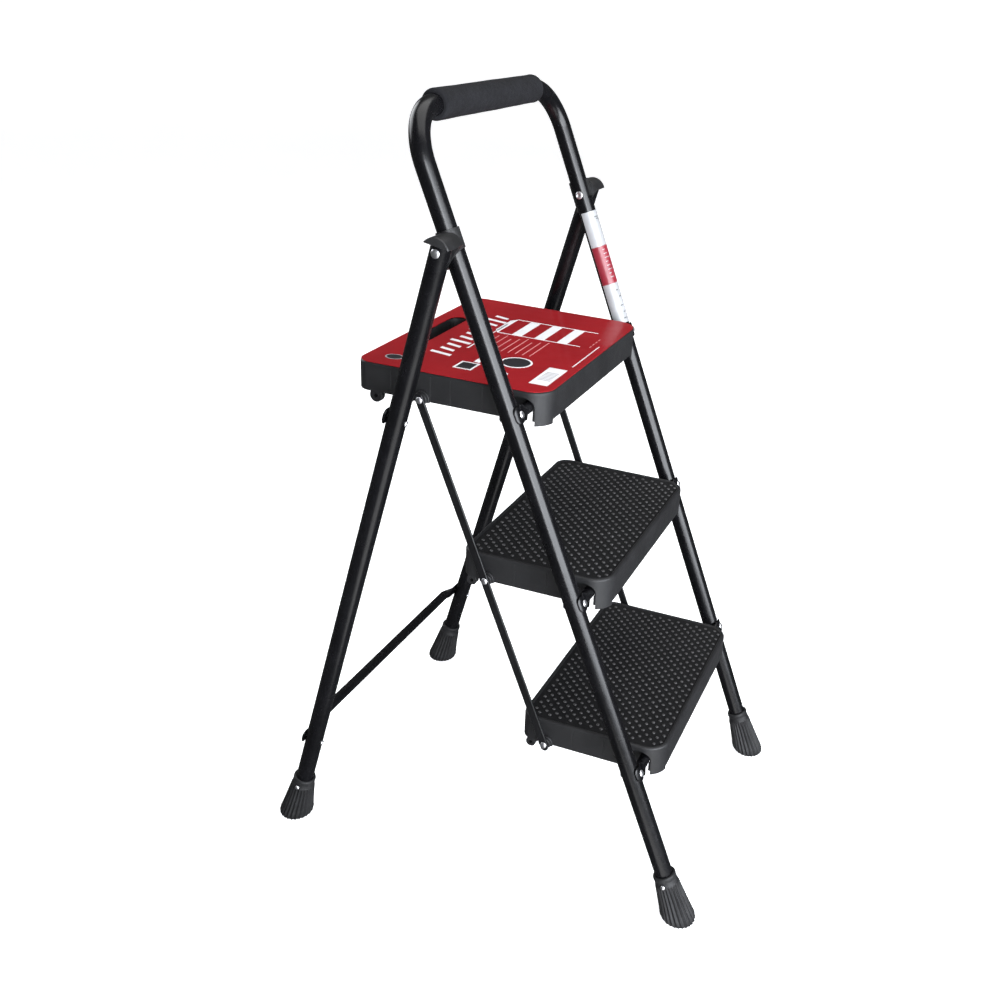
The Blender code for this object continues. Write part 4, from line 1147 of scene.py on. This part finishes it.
CAMERA_PLACE = Vector((-1.382, -0.5297, 1.186))
CAMERA_RIGHT = Vector((0.342, -0.937, 0.068))
CAMERA_FORWARD = Vector((0.857, 0.282, -0.431))
CAMERA_LENS = 40.76
CAMERA_SENSOR = 36.0
CAMERA_SHIFT = (-0.1025, 0.0105)
CAMERA_RANGE = 60.0

SWEEP_FLAT = 7.0
SWEEP_RISE = 6.0
SWEEP_STEPS = 12


def floor_material():
    mat = make_material("floor_paper", (0.86, 0.86, 0.865), (0.90, 0.90, 0.905), (0.85, 0.95),
                        cloud=2.0, grain=180.0, bump=0.02, specular=0.1)
    shader = mat.node_tree.nodes["Principled BSDF"]
    shader.inputs["Emission Color"].default_value = (1.0, 1.0, 1.0, 1.0)
    shader.inputs["Emission Strength"].default_value = 0.62
    return mat


def add_floor():
    """A round sheet of pale paper, flat under the ladder and swept up all round at its rim."""
    profile = [(0.0005, 0.0), (1.5, 0.0), (3.0, 0.0), (5.0, 0.0)]
    for angle in arc(SWEEP_STEPS, 0.0, 0.5 * math.pi):
        profile.append((SWEEP_FLAT + SWEEP_RISE * math.sin(angle),
                        SWEEP_RISE * (1.0 - math.cos(angle))))
    bm = bmesh.new()
    loops = add_rings(bm, [circle((0, 0, z), r, X_AXIS, Y_AXIS, 96) for r, z in profile])
    bm.faces.new(loops[0])
    floor = plain_object("stage_floor", bm)
    floor.location.z = -0.0002
    floor.data.materials.append(floor_material())
    floor.data.shade_smooth()
    floor.visible_glossy = False
    floor.visible_shadow = False
    add_ceiling(floor.data.materials[0])


def add_ceiling(paper):
    """A dome that closes the sweep above; only the camera sees it, so it adds no light."""
    wall = SWEEP_FLAT + SWEEP_RISE
    bm = bmesh.new()
    rings = [circle((0, 0, SWEEP_RISE + wall * math.sin(angle)), wall * math.cos(angle),
                    X_AXIS, Y_AXIS, 96)
             for angle in arc(SWEEP_STEPS, 0.0, 0.48 * math.pi)]
    loops = add_rings(bm, rings)
    bm.faces.new(loops[-1])
    ceiling = plain_object("stage_ceiling", bm)
    ceiling.data.materials.append(paper)
    ceiling.data.shade_smooth()
    ceiling.visible_diffuse = False
    ceiling.visible_glossy = False
    ceiling.visible_shadow = False


def add_area_light(name, place, target, width, height, power, colour):
    data = bpy.data.lights.new(name, "AREA")
    data.shape = "RECTANGLE"
    data.size = width
    data.size_y = height
    data.energy = power
    data.color = colour
    light = bpy.data.objects.new(name, data)
    light.location = place
    light.rotation_euler = (Vector(target) - Vector(place)).to_track_quat("-Z", "Y").to_euler()
    light.visible_camera = False
    bpy.context.scene.collection.objects.link(light)


def add_lights():
    middle = (0.0, 0.0, 0.7)
    add_area_light("key_softbox", (-1.70, -2.71, 1.1), middle, 3.9, 2.2, 410.0, (0.90, 0.94, 1.0))
    add_area_light("key_strip", (-2.52, -1.63, 1.1), middle, 0.5, 2.0, 30.0, (0.96, 0.97, 1.0))
    add_area_light("top_softbox", (0.3, -0.3, 3.4), middle, 3.0, 3.0, 75.0, (1.0, 1.0, 1.0))
    add_area_light("back_softbox", (0.7, 3.0, 2.2), middle, 2.8, 1.8, 70.0, (0.95, 0.97, 1.0))
    add_area_light("bounce_panel", (-1.1, -0.95, -0.5), (-1.1, -0.95, 1.0), 1.3, 1.3, 14.0,
                   (1.0, 1.0, 1.0))
    world = bpy.data.worlds.new("studio")
    bpy.context.scene.world = world
    world.use_nodes = True
    background = world.node_tree.nodes["Background"]
    background.inputs["Color"].default_value = (0.97, 0.98, 1.0, 1.0)
    background.inputs["Strength"].default_value = 0.085


def add_camera():
    data = bpy.data.cameras.new("camera")
    data.lens = CAMERA_LENS
    data.sensor_width = CAMERA_SENSOR
    data.shift_x, data.shift_y = CAMERA_SHIFT
    data.clip_end = CAMERA_RANGE
    forward = CAMERA_FORWARD.normalized()
    right = (CAMERA_RIGHT - CAMERA_RIGHT.dot(forward) * forward).normalized()
    up = right.cross(forward)
    turn = Matrix((right, up, -forward)).transposed().to_4x4()
    camera = bpy.data.objects.new("camera", data)
    camera.matrix_world = Matrix.Translation(CAMERA_PLACE) @ turn
    bpy.context.scene.collection.objects.link(camera)
    bpy.context.scene.camera = camera
    bpy.context.scene.view_settings.view_transform = "Standard"


add_tubes()
add_crossbars()
add_feet()
add_caps()
add_grip()
add_label()
add_treads()
add_links()
add_card()
add_floor()
add_lights()
add_camera()
